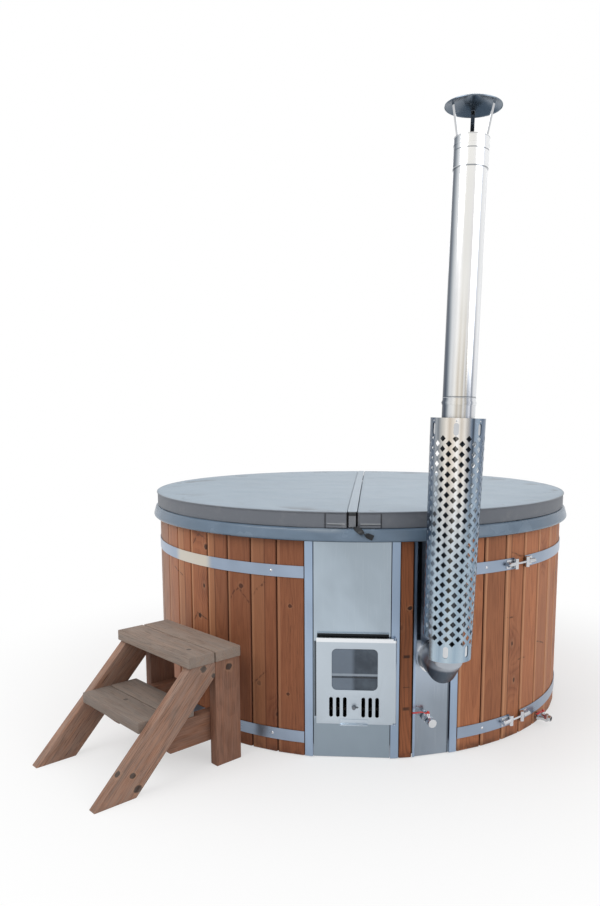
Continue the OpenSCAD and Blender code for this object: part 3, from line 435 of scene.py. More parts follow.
@dataclass(frozen=True)
class Finish:
    """What a surface is made of.

    Attributes:
        name: The material's name.
        stains_and_painted_light: Regions with real marks of their own, and regions of painted light
            and shade.
    """

    name: str
    stains_and_painted_light: tuple[Stain, ...] = field(default=(), kw_only=True)

    def material(self) -> bpy.types.Material:
        """Makes the finish's material at its first use.

        Returns:
            The material.
        """
        name = self.name + "_look"
        found = bpy.data.materials.get(name)
        if found is None:
            found = bpy.data.materials.new(name)
            self.draw(Graph(found))
        return found

    def stained(self, graph: Graph, colour: Signal) -> Signal:
        """A colour with the finish's regions of real marks and of painted light and shade on it.

        Args:
            graph: The material's graph.
            colour: The colour without them.

        Returns:
            The colour.
        """
        for region_colour in self.stains_and_painted_light:
            colour = graph.mix(colour, tone(region_colour.colour), region_colour.strength(graph))
        return colour

    def draw(self, graph: Graph) -> None:
        """Fills the material's graph."""
        raise NotImplementedError


class Lie(Enum):
    """How planks lie, as the turns that bring their length upright."""

    UPRIGHT = ()
    STEP_POST = ((0.0, 0.0, 42.4),)
    STEP_TREAD = ((0.0, 0.0, 42.4), (0.0, 90.0, 0.0))
    STEP_RAIL = ((0.0, 0.0, 42.4), (90.0, 0.0, 0.0))
    STEP_RAKE = ((0.0, 0.0, 42.4), (44.0, 0.0, 0.0))
    ALONG_Y = ((90.0, 0.0, 0.0),)


@dataclass(frozen=True)
class Wood(Finish):
    """Planed softwood with arched growth rings, fibres and knots.

    Attributes:
        early: Colour between the rings.
        late: Colour of the rings.
        lie: How the planks lie.
        plank: Width of one plank, in metres.
        grey_share: How weathered the wood is, from 0 to 1.
        knots: Share of the possible knots that are there.
        rough: Roughness of the surface.
        ring: How strong the rings show.
        luck: The darkest and lightest plank, as factors.
        streak: How strong the fibres show.
        marks: Knots at known places, as the place and the radius in metres.
        cracks: How dark the fine cracks along the fibres are.
        patchy: How much its patches differ in brightness, as a share.
    """

    KNOT, KNOT_HALO, WEATHERED, CRACK = "1c1411", "c79c78", "8d8781", "2b1d16"
    SHIFT = 7.31  # from one plank's part of the pattern to the next one's, in metres
    CELLS = 5.0  # possible knots in a metre
    SQUASH = 0.6  # how sparse they are along a plank, against 1 across it
    CORE, HALO, BEND = (0.036, 0.018), (0.085, 0.045), (0.34, 0.03)  # fades round a knot, in cells
    GRAIN = 0.0008  # height of the grain, in metres

    early: str = "a9775a"
    late: str = "7a4a33"
    lie: Lie = Lie.UPRIGHT
    plank: float = 0.12
    grey_share: float = 0.0
    knots: float = 0.45
    rough: float = 0.55
    ring: float = 0.3
    luck: tuple[float, float] = (0.85, 1.12)
    streak: float = 0.65
    marks: tuple[tuple[Point, float], ...] = ()
    cracks: float = 0.0
    patchy: float = 0.16

    def along(self, graph: Graph) -> Grain:
        """The place in a plank."""
        x, y, z = graph.parts(graph.turned(graph.place(), self.lie.value))
        return x, y, z, (x / self.plank).floor() + (y / self.plank).floor() * 7.0

    def distance(self, graph: Graph, spot: Point) -> Signal:
        """How far the surface point is from a place, in metres."""
        x, y, z = (a - b for a, b in zip(graph.parts(graph.place()), spot))
        return (x * x + y * y + z * z) ** 0.5

    def dirt_and_bevel_highlight(self, graph: Graph, colour: Signal, across: Signal, number: Signal) -> Signal:
        """The colour with what marks single planks and their edges, and painted highlights on them;
        plain planks get none.
        """
        return colour

    def knotted(self, graph: Graph, grain: Grain) -> tuple[Signal, Signal, Signal]:
        """Scatters knots over the planks and adds those at known places.

        Args:
            graph: The material's graph.
            grain: The place in a plank.

        Returns:
            The knots' dark cores, the cores with their light halos, and how far the rings bend
            round them, each from 0 to 1.
        """
        across, through, length, number = grain
        spot = graph.vector(across + number * self.SHIFT, length * self.SQUASH, 0.0)
        gap, chosen = graph.cells(spot, self.CELLS)
        there = chosen.rise(1.0 - self.knots - 0.02, 1.0 - self.knots + 0.02)
        blot = graph.noise(graph.vector(across, through, length), 60.0, 3.0).spread(0.4, 1.6)
        core = (gap * blot).rise(*self.CORE) * there
        halo, bend = gap.rise(*self.HALO) * there, gap.rise(*self.BEND) * there
        for place, size in self.marks:
            near = self.distance(graph, place) * blot
            core = core.larger(near.rise(size, size * 0.7))
            halo = halo.larger(near.rise(size * 1.7, size * 1.1))
        return core, halo, bend

    def rings(self, graph: Graph, grain: Grain, bend: Signal) -> Signal:
        """The growth rings, as arches whose lean differs from plank to plank.

        Args:
            graph: The material's graph.
            grain: The place in a plank.
            bend: How far the knots bend them.

        Returns:
            A value from 0 to 1.
        """
        across, through, length, number = grain
        lean = graph.chance(number + 0.37)
        broad = graph.vector(across * 2.0 + number * self.SHIFT, through * 2.0, length * 0.5)
        middle = across + (lean - 0.5) * (self.plank * 0.7)
        phase = (middle * middle * 900.0 + length * lean.spread(-5.0, 5.0)
                 + graph.noise(broad, 3.0, 2.0) * 6.0 + bend * 2.2)
        part = phase % 1.0
        return part.rise(0.25, 0.9) * part.rise(1.0, 0.93)

    def draw(self, graph: Graph) -> None:
        """Rings that bend round the knots, with fibres, patches, cracks and weather.

        Args:
            graph: The material's graph.
        """
        grain = self.along(graph)
        across, through, length, number = grain
        offset = number * self.SHIFT
        core, halo, bend = self.knotted(graph, grain)
        ring = self.rings(graph, grain, bend)
        thread = graph.vector(across * 60.0 + offset, through * 60.0, length * 1.6)
        fibre = graph.noise(thread, 7.0, 4.0, 0.6)
        patch = graph.noise(graph.vector(across * 2.0 + offset, through, length * 0.7), 3.5, 3.0)
        streaks = fibre.spread(0.28 - self.streak * 0.58, 0.28 + self.streak * 0.58)
        late = (ring * self.ring + streaks + bend * 0.25).rise(0.0, 1.0)
        light = patch.spread(1.0 - self.patchy, 1.0 + self.patchy)
        colour = graph.shade(graph.mix(tone(self.early), tone(self.late), late),
                             graph.chance(number).spread(*self.luck) * light)
        colour = graph.mix(colour, tone(self.KNOT_HALO), (halo - core) * 0.13)
        colour = graph.mix(colour, tone(self.KNOT), core * 0.86)
        if self.grey_share > 0:
            worn = graph.vector(across * 8.0, through * 8.0, length * 1.2)
            wear = graph.noise(worn, 6.0, 5.0, 0.65).rise(0.25, 0.7)
            colour = graph.mix(colour, tone(self.WEATHERED), wear * self.grey_share)
        height = fibre * 0.5 + ring * (self.ring * 0.5) - core * 0.6
        if self.cracks > 0:
            fine = graph.vector(across * 150.0, through * 150.0, length * 5.0)
            crack = graph.noise(fine, 2.0, 3.0, 0.6).rise(0.60, 0.70) * patch.rise(0.35, 0.6)
            colour = graph.mix(colour, tone(self.CRACK), crack * self.cracks)
            height = height - crack * 0.5
        colour = self.stained(graph, self.dirt_and_bevel_highlight(graph, colour, across, number))
        graph.surface(Base_Color=colour, Normal=graph.bump(height, self.GRAIN),
                      Roughness=patch.spread(self.rough - 0.06, self.rough + 0.1),
                      Specular_IOR_Level=0.28)


@dataclass(frozen=True)
class RoundWood(Wood):
    """The upright boards round the tub, whose places follow from their angle.

    Attributes:
        first: Angle of the first board's edge, in degrees from the front.
        pitch: Angle from board to board, in degrees.
        radius: Radius of the boards' faces, in metres.
        bevel: How strong the painted highlight on the boards' left bevels is.
        sapwood: Boards with a light strip at their left, as the number and the strip's share of
            the width.
        strokes: Dark strokes beside the knots, as two ends, each an angle in degrees and a height
            in metres.
    """

    SAP, SAP_LINE, STROKE = "b98560", "3a2216", "2a1a12"
    # The first is a painted highlight along each board's left bevel, the second the dark colour of
    # the joints.
    BEVEL, JOINT = "c08a66", "2a1710"
    FIRST_NUMBER = 3.0  # the first board's number in the pattern

    first: float = 25.396
    pitch: float = 6.8878
    radius: float = 0.999
    bevel: float = 0.7
    sapwood: tuple[tuple[float, float], ...] = ()
    strokes: tuple[tuple[tuple[float, float], tuple[float, float]], ...] = ()

    def along(self, graph: Graph) -> Grain:
        """The place in a board, worked out from its angle round the tub.

        Args:
            graph: The material's graph.

        Returns:
            The place.
        """
        x, y, z = graph.parts(graph.place())
        angle = x.angle(y * -1.0) % math.tau
        count = (angle - math.radians(self.first)) / math.radians(self.pitch)
        number = count.floor()
        across = (count - number - 0.5) * (self.radius * math.radians(self.pitch))
        depth = (x * x + y * y) ** 0.5
        return across, depth, z, number + self.FIRST_NUMBER

    def drawn(self, graph: Graph) -> Signal:
        """The dark strokes beside the knots, with uneven edges.

        Args:
            graph: The material's graph.

        Returns:
            How much of a stroke there is at a point, from 0 to 1.
        """
        x, y, z = graph.parts(graph.place())
        drift = graph.noise(graph.place(), 22.0, 3.0).spread(-0.022, 0.022)
        across = x.angle(y * -1.0) * self.radius + drift
        found = z * 0.0
        for (turn, low), (far_turn, high) in self.strokes:
            start = Vector((math.radians(turn) * self.radius, low))
            step = Vector((math.radians(far_turn) * self.radius, high)) - start
            unit = step.normalized()
            ahead = (across - start.x) * unit.x + (z - start.y) * unit.y
            aside = abs((across - start.x) * unit.y - (z - start.y) * unit.x)
            ends = ahead.between((-0.006, 0.004, step.length - 0.01, step.length + 0.01))
            found = found.larger(aside.rise(0.0050, 0.0015) * ends)
        return found * graph.noise(graph.place(), 70.0, 2.0).rise(0.3, 0.6)

    def strips(self, graph: Graph, colour: Signal, across: Signal, number: Signal) -> Signal:
        """The colour with the light strips of sapwood and the dark line beside each.

        Args:
            graph: The material's graph.
            colour: The colour without them.
            across: The place across a board.
            number: The board's number.

        Returns:
            The colour.
        """
        left = -self.radius * math.radians(self.pitch) / 2
        for board, share in self.sapwood:
            end = -left * (2 * share - 1)
            here = abs(number - (board + self.FIRST_NUMBER)).rise(0.6, 0.4)
            strip = across.between((left, 0.002 + left, end - 0.003, end))
            beside = across.between((end - 0.002, end, end + 0.001, end + 0.006))
            colour = graph.mix(colour, tone(self.SAP), strip * here * 0.4)
            colour = graph.mix(colour, tone(self.SAP_LINE), beside * here * 0.6)
        return colour

    def dirt_and_bevel_highlight(self, graph: Graph, colour: Signal, across: Signal, number: Signal) -> Signal:
        """The colour with strips, strokes, a painted highlight on the bevels, dark joints and
        splashes at the foot.

        Args:
            graph: The material's graph.
            colour: The bare wood's colour.
            across: The place across a board.
            number: The board's number.

        Returns:
            The colour.
        """
        half = self.radius * math.radians(self.pitch) / 2
        colour = self.strips(graph, colour, across, number)
        if self.strokes:
            colour = graph.mix(colour, tone(self.STROKE), self.drawn(graph) * 0.7)
        low = graph.parts(graph.place())[2].rise(0.05, 0.0)
        splash = graph.noise(graph.place(), 18.0, 4.0, 0.6)
        # Painted highlight along the left bevel of each board.
        bevel = across.between((0.0025 - half, 0.004 - half, 0.015 - half, 0.018 - half))
        colour = graph.mix(colour, tone(self.BEVEL), bevel * self.bevel)
        edge = abs(across).rise(half - 0.006, half - 0.0015)
        dark = edge.larger(low * splash.rise(0.35, 0.6))
        return graph.mix(colour, tone(self.JOINT), dark * 0.65)


class Brush(Enum):
    """The direction in which a sheet was brushed or rolled, as a stretch of its pattern."""

    UP = (34.0, 34.0, 0.8)
    LEVEL = (2.0, 2.0, 60.0)
    NONE = (6.0, 6.0, 6.0)


@dataclass(frozen=True)
class Steel(Finish):
    """Sheet metal with fine brush lines, smears and dents.

    Attributes:
        colour: Its reflecting colour.
        foot: The colour at its lower end, or nothing for the same.
        span: Heights of the lower and upper end, in metres.
        rough: Mean roughness.
        smear: How much the roughness changes over the sheet.
        brush: The direction of its lines.
        line: Depth of the lines, in metres.
        wave: Depth of its broad dents, in metres.
        cloud: How much darker its smears are, from 0 to 1.
    """

    SHINE = 0.95  # the lines' lighter grey

    colour: str = "c2c8d0"
    foot: str = ""
    span: tuple[float, float] = (0.0, 1.0)
    rough: float = 0.22
    smear: float = 0.1
    brush: Brush = Brush.UP
    line: float = 0.00001
    wave: float = 0.0
    cloud: float = 0.16

    def base(self, graph: Graph) -> Signal:
        """The sheet's colour before its lines and smears."""
        z = graph.parts(graph.place())[2]
        return graph.mix(tone(self.foot or self.colour), tone(self.colour), z.rise(*self.span))

    def draw(self, graph: Graph) -> None:
        """A metal whose roughness and colour change in lines and smears.

        Args:
            graph: The material's graph.
        """
        x, y, z = graph.parts(graph.place())
        sx, sy, sz = self.brush.value
        lines = graph.noise(graph.vector(x * sx, y * sy, z * sz), 8.0, 3.0, 0.7)
        slanted = graph.vector(x + z * 0.45, y, z * 0.5 - x * 0.3)
        smears = graph.noise(slanted, 3.2, 3.0, 0.55)
        clouds = smears.rise(0.3, 0.7).spread(1.0 - self.cloud, 1.0 + self.cloud * 0.5)
        colour = graph.shade(self.base(graph), clouds)
        colour = graph.mix(colour, grey(self.SHINE), lines.rise(0.55, 0.9) * 0.2)
        colour = self.stained(graph, colour)
        rough = smears.spread(self.rough - self.smear, self.rough + self.smear)
        rough = rough + lines * 0.06 - 0.03
        height = lines * self.line
        if self.wave:
            height = height + graph.noise(graph.vector(x, y, z * 0.5), 2.6, 1.0) * self.wave
        graph.surface(Base_Color=colour, Metallic=1.0, Roughness=rough.larger(0.03),
                      Normal=graph.bump(height, 1.0))


@dataclass(frozen=True)
class Rolled(Steel):
    """Sheet metal rolled to a pipe, with painted reflections as streaks by the angle round its
    axis.

    Attributes:
        frame: The pipe's frame, with its axis along Z. 0.5 in the stops faces its -Y.
        upper: The painted reflections above the span, as stops of a share of a full turn and a
            colour.
        lower: The painted reflections and shade below the span.
        seams: Heights of dark lines round the pipe, in its frame.
    """

    SEAM = "4f5863"

    frame: Matrix = field(default_factory=Matrix)
    upper: Stops = ()
    lower: Stops = ()
    seams: tuple[float, ...] = ()

    def base(self, graph: Graph) -> Signal:
        """Painted reflections that change from the lower streaks to the upper ones, with dark lines
        at the seams.

        Args:
            graph: The material's graph.

        Returns:
            The colour before the sheet's lines and smears.
        """
        x, y, z = graph.within(self.frame)
        turn = x.angle(y * -1.0) / math.tau + 0.5
        drift = graph.noise(graph.vector(x, y, z * 0.7), 3.0, 2.0).spread(-0.012, 0.012)
        colour = graph.ramp(turn + drift, self.upper)
        if self.lower:
            colour = graph.mix(graph.ramp(turn + drift, self.lower), colour, z.rise(*self.span))
        for height in self.seams:
            dark = abs(z - height).rise(0.0022, 0.0008)
            colour = graph.mix(colour, tone(self.SEAM), dark * 0.8)
        return colour


@dataclass(frozen=True)
class Moulding(Finish):
    """Moulded plastic with a faint orange-peel skin, soft waves and dull patches.

    Attributes:
        colour: Its colour.
        rough: Mean roughness.
    """

    PATCH = "8796a6"

    colour: str = "5f7183"
    rough: float = 0.26

    def draw(self, graph: Graph) -> None:
        """Plastic with soft patches and fine pits.

        Args:
            graph: The material's graph.
        """
        place = graph.place()
        x, y, z = graph.parts(place)
        patch = graph.noise(place, 5.0, 4.0)
        pits = graph.noise(place, 320.0, 2.0)
        wave = graph.noise(graph.vector(x, y, z * 2.0), 9.0, 1.0)
        colour = graph.mix(tone(self.colour), tone(self.PATCH), patch.rise(0.45, 0.8) * 0.5)
        colour = graph.shade(colour, pits.spread(0.97, 1.03) * wave.spread(0.85, 1.15))
        graph.surface(Base_Color=self.stained(graph, colour),
                      Roughness=patch.spread(self.rough - 0.1, self.rough + 0.1),
                      Normal=graph.bump(wave + pits * 0.04, 0.002), Specular_IOR_Level=0.45)


@dataclass(frozen=True)
class Cloth(Finish):
    """Coated cloth with a fine weave.

    Attributes:
        colour: Its colour.
        weave: Threads in a metre.
        rough: Mean roughness.
    """

    DUST = "a9a6a2"

    colour: str = "95a4b1"
    weave: float = 900.0
    rough: float = 0.6

    def draw(self, graph: Graph) -> None:
        """A weave of two crossing waves under a worn coat.

        Args:
            graph: The material's graph.
        """
        place = graph.place()
        x, y, z = graph.parts(place)
        warp = ((x + z * 0.7) * (self.weave * math.tau)).sine()
        weft = ((y + z * 0.7) * (self.weave * math.tau)).sine()
        weave = (warp * weft).spread(0.35, 0.65)
        patch = graph.noise(place, 2.4, 5.0, 0.55)
        dust = graph.noise(place, 22.0, 4.0, 0.6)
        colour = graph.shade(tone(self.colour), patch.spread(0.90, 1.10) * weave.spread(0.97, 1.03))
        colour = graph.mix(self.stained(graph, colour), tone(self.DUST), dust.rise(0.5, 0.8) * 0.12)
        graph.surface(Base_Color=colour, Normal=graph.bump(weave, 0.00012),
                      Roughness=dust.spread(self.rough - 0.1, self.rough + 0.08),
                      Sheen_Weight=0.1, Sheen_Roughness=0.5, Specular_IOR_Level=0.3)


@dataclass(frozen=True)
class Enamel(Finish):
    """Painted or dipped metal, worn along its high spots.

    Attributes:
        colour: The paint's colour.
        rough: Mean roughness.
    """

    SCUFF = "4a3a36"

    colour: str = "b3201a"
    rough: float = 0.3

    def draw(self, graph: Graph) -> None:
        """Glossy paint with scuffs.

        Args:
            graph: The material's graph.
        """
        place = graph.place()
        scuff = graph.noise(place, 160.0, 5.0, 0.7)
        patch = graph.noise(place, 30.0, 2.0)
        colour = graph.mix(tone(self.colour), tone(self.SCUFF), scuff.rise(0.62, 0.8) * 0.6)
        graph.surface(Base_Color=colour, Normal=graph.bump(scuff, 0.0001), Coat_Weight=0.3,
                      Roughness=patch.spread(self.rough - 0.08, self.rough + 0.15))


@dataclass(frozen=True)
class Pane(Finish):
    """Stove glass with a haze of soot."""

    CLEAR, SOOTY = "323d4a", "4b5763"

    def draw(self, graph: Graph) -> None:
        """Dark glass with soft patches of soot.

        Args:
            graph: The material's graph.
        """
        place = graph.place()
        soot = graph.noise(place, 14.0, 4.0, 0.6)
        colour = graph.mix(tone(self.CLEAR), tone(self.SOOTY), soot.rise(0.35, 0.75))
        graph.surface(Base_Color=self.stained(graph, colour), Roughness=soot.spread(0.05, 0.16),
                      Alpha=soot.spread(0.88, 0.98), Specular_IOR_Level=0.5)


@dataclass(frozen=True)
class Iron(Finish):
    """Rough cast or scaled iron.

    Attributes:
        colour: Its colour.
    """

    RUST = "5b544c"

    colour: str = "3a3938"

    def draw(self, graph: Graph) -> None:
        """Grainy dull metal.

        Args:
            graph: The material's graph.
        """
        place = graph.place()
        grain = graph.noise(place, 260.0, 4.0, 0.7)
        patch = graph.noise(place, 12.0, 4.0)
        colour = graph.mix(tone(self.colour), tone(self.RUST), patch.rise(0.45, 0.8) * 0.6)
        graph.surface(Base_Color=colour, Metallic=0.7, Roughness=grain.spread(0.5, 0.8),
                      Normal=graph.bump(grain, 0.0004))


@dataclass(frozen=True)
class FloorPaint(Finish):
    """A matt floor that the camera sees a little brighter than the light makes it.

    Attributes:
        level: The paint's grey.
        clear: Distances from the tub's axis over which it turns to plain white, in metres.
        glow: How much of the white is added near the object.
    """

    level: float = 0.85
    clear: tuple[float, float] = (1.0, 2.4)
    glow: float = 0.5

    def draw(self, graph: Graph) -> None:
        """A pale matt surface that turns to plain white for the camera away from the object.

        Args:
            graph: The material's graph.
        """
        x, y, _ = graph.parts(graph.place())
        far = ((x * x + y * y) ** 0.5).rise(*self.clear)
        rays = graph.node("ShaderNodeLightPath")
        seen = rays["Is Camera Ray"].larger(rays["Is Glossy Ray"])
        seen = seen.larger(rays["Is Transmission Ray"])
        white = {"Color": grey(1.0), "Strength": 1.0}
        paint = graph.node("ShaderNodeBsdfDiffuse", None, {"Color": grey(self.level)})["BSDF"]
        glow = graph.node("ShaderNodeEmission", None, white)["Emission"]
        mixed = {0: seen * far.spread(self.glow, 1.0), 1: paint, 2: glow}
        graph.output(graph.node("ShaderNodeMixShader", None, mixed)["Shader"])


def line(colour: str, share: float, at: float, half: float = 0.003, **region: Fade) -> Stain:
    """A thin level line at a height."""
    fade = (at - half, at - half * 0.5, at + half * 0.5, at + half)
    return Stain(colour, share, z=fade, **region)


BOARDS = RoundWood(
    "board_wood", "ab6e4b", "6a3824", knots=0.33, ring=0.15, streak=0.9, cracks=0.5, patchy=0.24,
    marks=(((-0.6257, -0.7792, 0.8261), 0.013), ((-0.6665, -0.7441, 0.5197), 0.013),
           ((-0.4593, -0.8873, 0.6846), 0.013), ((-0.3843, -0.9225, 0.2846), 0.011),
           ((-0.2485, -0.9676, 0.6246), 0.009), ((-0.2594, -0.9648, 0.2566), 0.008)),
    sapwood=((43.0, 0.38), (45.0, 0.55), (2.0, 0.27), (41.0, 0.5), (5.0, 0.4)),
    strokes=(((-20.95, 0.713), (-24.14, 0.654)), ((-20.68, 0.341), (-24.02, 0.283)),
             ((-54.75, 0.700), (-49.73, 0.674)), ((-27.68, 0.671), (-24.74, 0.615)),
             ((-27.97, 0.679), (-30.79, 0.630)), ((-44.20, 0.832), (-41.90, 0.877)),
             ((-41.90, 0.877), (-37.97, 0.858)), ((-44.14, 0.489), (-43.14, 0.529)),
             ((-43.14, 0.529), (-39.01, 0.511)), ((41.18, 0.815), (45.18, 0.789)),
             ((39.42, 0.537), (42.78, 0.532)), ((45.02, 0.339), (47.66, 0.338)),
             ((54.25, 0.384), (58.40, 0.357))),
    stains_and_painted_light=(Stain("90857c", 0.5, x=(-3.0, -2.0, -0.985, -0.72)),
            # Painted shade over the front-left boards.
            Stain("5a3120", 0.45, x=(-0.66, -0.50, -0.20, -0.10)),
            # Painted light on the right-hand boards.
            Stain("b9835f", 0.1, x=(0.45, 0.9, 2.0, 3.0))))
SMUDGE = (11.6, 12.1, 13.1, 13.6)  # the middle of the narrow board, in degrees
NARROW = RoundWood(
    "narrow_board_wood", "925736", "4c2a18", first=10.877, pitch=3.327, bevel=0.0, ring=0.2,
    marks=(((0.2282, -0.9726, 0.6258), 0.010),),
    stains_and_painted_light=(line("1d110b", 0.8, 0.427, 0.008, turn=SMUDGE),
            line("1d110b", 0.7, 0.210, 0.009, turn=SMUDGE),
            line("1d110b", 0.5, 0.300, 0.003, turn=SMUDGE)))
JOISTS = Wood("joist_wood", "b79a76", "8f7352", Lie.ALONG_Y, 0.25, rough=0.7)
RING_WOOD = Wood("ring_wood", "b79a76", "8f7352", plank=0.6, rough=0.7)
POSTS = Wood(
    "post_wood", "8f6550", "4b2c1e", Lie.STEP_POST, 0.3, grey_share=0.12, knots=0.2, rough=0.66,
    ring=0.12, streak=1.25, cracks=0.6, patchy=0.26, marks=(((-0.4841, -1.0492, 0.3973), 0.016),))
TREADS = Wood(
    "tread_wood", "a18c7d", "524139", Lie.STEP_TREAD, 0.126, grey_share=0.5, knots=0.2, rough=0.7,
    ring=0.12, streak=1.4, cracks=0.85, patchy=0.3,
    marks=(((-0.6349, -1.0802, 0.4731), 0.010), ((-0.8967, -1.0746, 0.2601), 0.012)),
    stains_and_painted_light=(Stain("5d5753", 0.4, z=(-1.0, 0.0, 0.30, 0.35)),))
RAILS = Wood(
    "rail_wood", "8a5f48", "4b2c1e", Lie.STEP_RAIL, 0.3, grey_share=0.2, knots=0.2, rough=0.66,
    ring=0.12, streak=1.25, cracks=0.6)
RAKES = Wood(
    "rake_wood", "a87e67", "533627", Lie.STEP_RAKE, 0.3, grey_share=0.38, knots=0.2, rough=0.66,
    ring=0.12, streak=1.8, cracks=0.8, patchy=0.34,
    marks=(((-0.5641, -1.1369, 0.4132), 0.015), ((-0.5332, -1.1029, 0.3759), 0.013),
           ((-0.7777, -1.3708, 0.0910), 0.013), ((-0.8256, -1.3974, 0.1073), 0.015),
           ((-0.7663, -1.3582, 0.0331), 0.018)))
RIM = Moulding("rim_plastic", stains_and_painted_light=(
    # A painted shade line under the rim's lower lip.
    line("1b232c", 0.85, 0.8945, 0.0035),
    # A painted highlight on the rim's upper part at the front left.
    Stain("9aa2a8", 0.35, z=(0.925, 0.94, 2.0, 3.0), turn=(-14, -7, -4, -1))))
HOOP = Steel("hoop_steel", "99a7ba", rough=0.3, brush=Brush.LEVEL, stains_and_painted_light=(
    Stain("d8cdb9", 0.75, z=(0.5, 0.6, 1.0, 1.1), turn=(-53.5, -50.0, -39.0, -36.0)),))
STRIP = Steel("strip_steel", "9caec4", rough=0.34, smear=0.06)
PANEL = Steel("panel_steel", "adbac5", rough=0.34, smear=0.07, wave=0.0008, cloud=0.2, stains_and_painted_light=(
    Stain("87949f", 0.75, z=(-2.0, -1.0, 0.160, 0.172)),
    # Painted shade in the gap along the door's left edge.
    Stain("12161b", 0.85, z=(0.170, 0.175, 0.485, 0.490), x=(-0.152, -0.150, -0.142, -0.140))))
FLUE_PANEL = Steel(
    "flue_panel_steel", "a9b4c2", "919ba6", (0.20, 0.42), rough=0.24, smear=0.06, wave=0.0008,
    # Painted shade in the narrow slot by the panel's left edge, above the door's top.
    stains_and_painted_light=(Stain("10161f", 0.92, z=(0.487, 0.495, 2.0, 3.0), turn=(15.0, 15.2, 15.9, 16.15)),
            # A painted highlight just below that slot.
            Stain("eef2f6", 0.8, z=(0.44, 0.45, 0.485, 0.492), turn=(15.0, 15.3, 16.0, 16.4)),
            # A painted highlight along the panel's left edge.
            Stain("e9eef3", 0.7, z=(0.2, 0.45, 2.0, 3.0), turn=(14.7, 14.8, 14.9, 15.05)),
            # Painted shade along the panel's right edge.
            Stain("2c333d", 0.7, z=(-1.0, 0.0, 2.0, 3.0), turn=(22.9, 23.1, 23.6, 23.8))))
DOOR = Steel(
    "door_aluminium", "bcc6cf", rough=0.4, smear=0.05, brush=Brush.LEVEL, cloud=0.08,
    # A painted highlight along the door's top edge.
    stains_and_painted_light=(Stain("f4f6f8", 0.8, z=(0.488, 0.492, 2.0, 3.0)),))
BOLT = Steel("bolt_steel", "d0d2d6", rough=0.2, smear=0.08, brush=Brush.NONE)
STOVE = Steel("stove_steel", "70747a", rough=0.45, smear=0.12, brush=Brush.NONE)
JACKET = Steel("jacket_aluminium", "8f9499", rough=0.4, smear=0.12, stains_and_painted_light=(
    # Painted shade: the jacket near black above the door's top, where it shows through the slot.
    Stain("0e1114", 0.92, z=(0.490, 0.495, 2.0, 3.0)),))
# The elbow's dark foot is a painted reflection: its lower segment faces the ground.
ELBOW = Steel("elbow_steel", "aab0b8", "4c5764", (0.420, 0.436), 0.34, 0.08, Brush.NONE)
CAP = Steel("cap_steel", "76828f", rough=0.3, smear=0.1, brush=Brush.NONE, cloud=0.3)
CHROME = Steel("valve_chrome", "d3d5d8", rough=0.14, smear=0.08, brush=Brush.NONE)
GLASS = Pane("stove_glass", stains_and_painted_light=(
    # A painted reflection on the left part of the glass.
    Stain("6f7c8b", 0.8, x=(-1.0, -0.9, -0.005, 0.018)),
    # A painted highlight line along the glass's top edge and a painted shade line below it.
    line("98a3af", 0.8, 0.356, 0.006), line("1a2029", 0.8, 0.346, 0.005)))
# Fades of both pockets' mouths, of their welts and of the seams beside them, in degrees: a painted
# shade line under each welt, a painted highlight line on it, and dark seam lines that are partly
# thread and partly painted shade
MOUTHS = ((-5.6, -5.3, -2.6, -2.0), (1.7, 1.9, 6.1, 6.2))
WELTS = ((-5.6, -5.3, -1.7, -1.4), (1.7, 1.9, 6.1, 6.2))
SEAMS = ((-6.2, -6.1, -5.8, -5.7), (6.1, 6.2, 6.45, 6.55))
CLOTH = Cloth("cover_cloth", stains_and_painted_light=(
    # Painted shade: the side band below the upper edge darker than the top.
    Stain("676b72", 1.0, z=(-1.0, 0.0, 1.0085, 1.0108)),
    # Painted shade on the halves' inner faces along the gap between them.
    Stain("0b0c0e", 0.9, x=(-0.0240, -0.0220, 0.0220, 0.0240), z=(-1.0, 0.0, 1.0075, 1.0100)),
    # Dark seam lines beside the pockets, partly thread and partly painted shade.
    *(Stain("26282d", 0.8, z=(0.0, 0.1, 1.006, 1.009), turn=turn) for turn in SEAMS),
    # A painted shade line under each pocket's welt.
    *(line("23252a", 0.75, 0.9605, 0.0022, turn=turn) for turn in MOUTHS),
    # A painted highlight line along each welt.
    *(line("a4a7a8", 0.6, 0.9645, 0.0025, turn=turn) for turn in WELTS)))
STRIPE = Cloth("fold_cloth", "9eabb7", stains_and_painted_light=(
    # Painted shade: the flaps darker than the strip on top.
    Stain("74777c", 1.0, z=(-1.0, 0.0, 0.9995, 1.0005)),
    # A painted shadow under the top edge of each flap.
    Stain("08090b", 0.95, z=(0.9950, 0.9970, 1.0105, 1.0122))))
PIPING = Cloth("piping_cloth", "8d98a2", 1200.0, 0.5, stains_and_painted_light=(
    # Painted shade on the piping's lower side.
    Stain("676b72", 1.0, z=(-1.0, 0.0, 1.0090, 1.0108)),))
WEB = Cloth("strap_web", "1f2226", 700.0, 0.5)
LEVER = Enamel("lever_paint", "c02a1e")
GRATE = Iron("grate_iron")
FLOOR = FloorPaint("floor_paint")


# --- Making pieces ---


def polar(radius: float, degrees: float, z: float = 0.0) -> Vector:
    """A point at an angle from the front, counted towards the right."""
    a = math.radians(degrees)
    return Vector((radius * math.sin(a), -radius * math.cos(a), z))


class Path:
    """A line through points, read by the share of its length."""

    def __init__(self, points: Sequence[Vector]) -> None:
        """Measures the line.

        Args:
            points: Its points, in order.
        """
        self.points = list(points)
        self.steps = [(b - a).length for a, b in zip(self.points, self.points[1:])]

    def at(self, share: float) -> Vector:
        """Walks along the line.

        Args:
            share: A share of the length, from 0 to 1.

        Returns:
            The point there.
        """
        left = share * sum(self.steps)
        for start, end, step in zip(self.points, self.points[1:], self.steps):
            if left <= step:
                return start.lerp(end, left / step)
            left -= step
        return self.points[-1].copy()


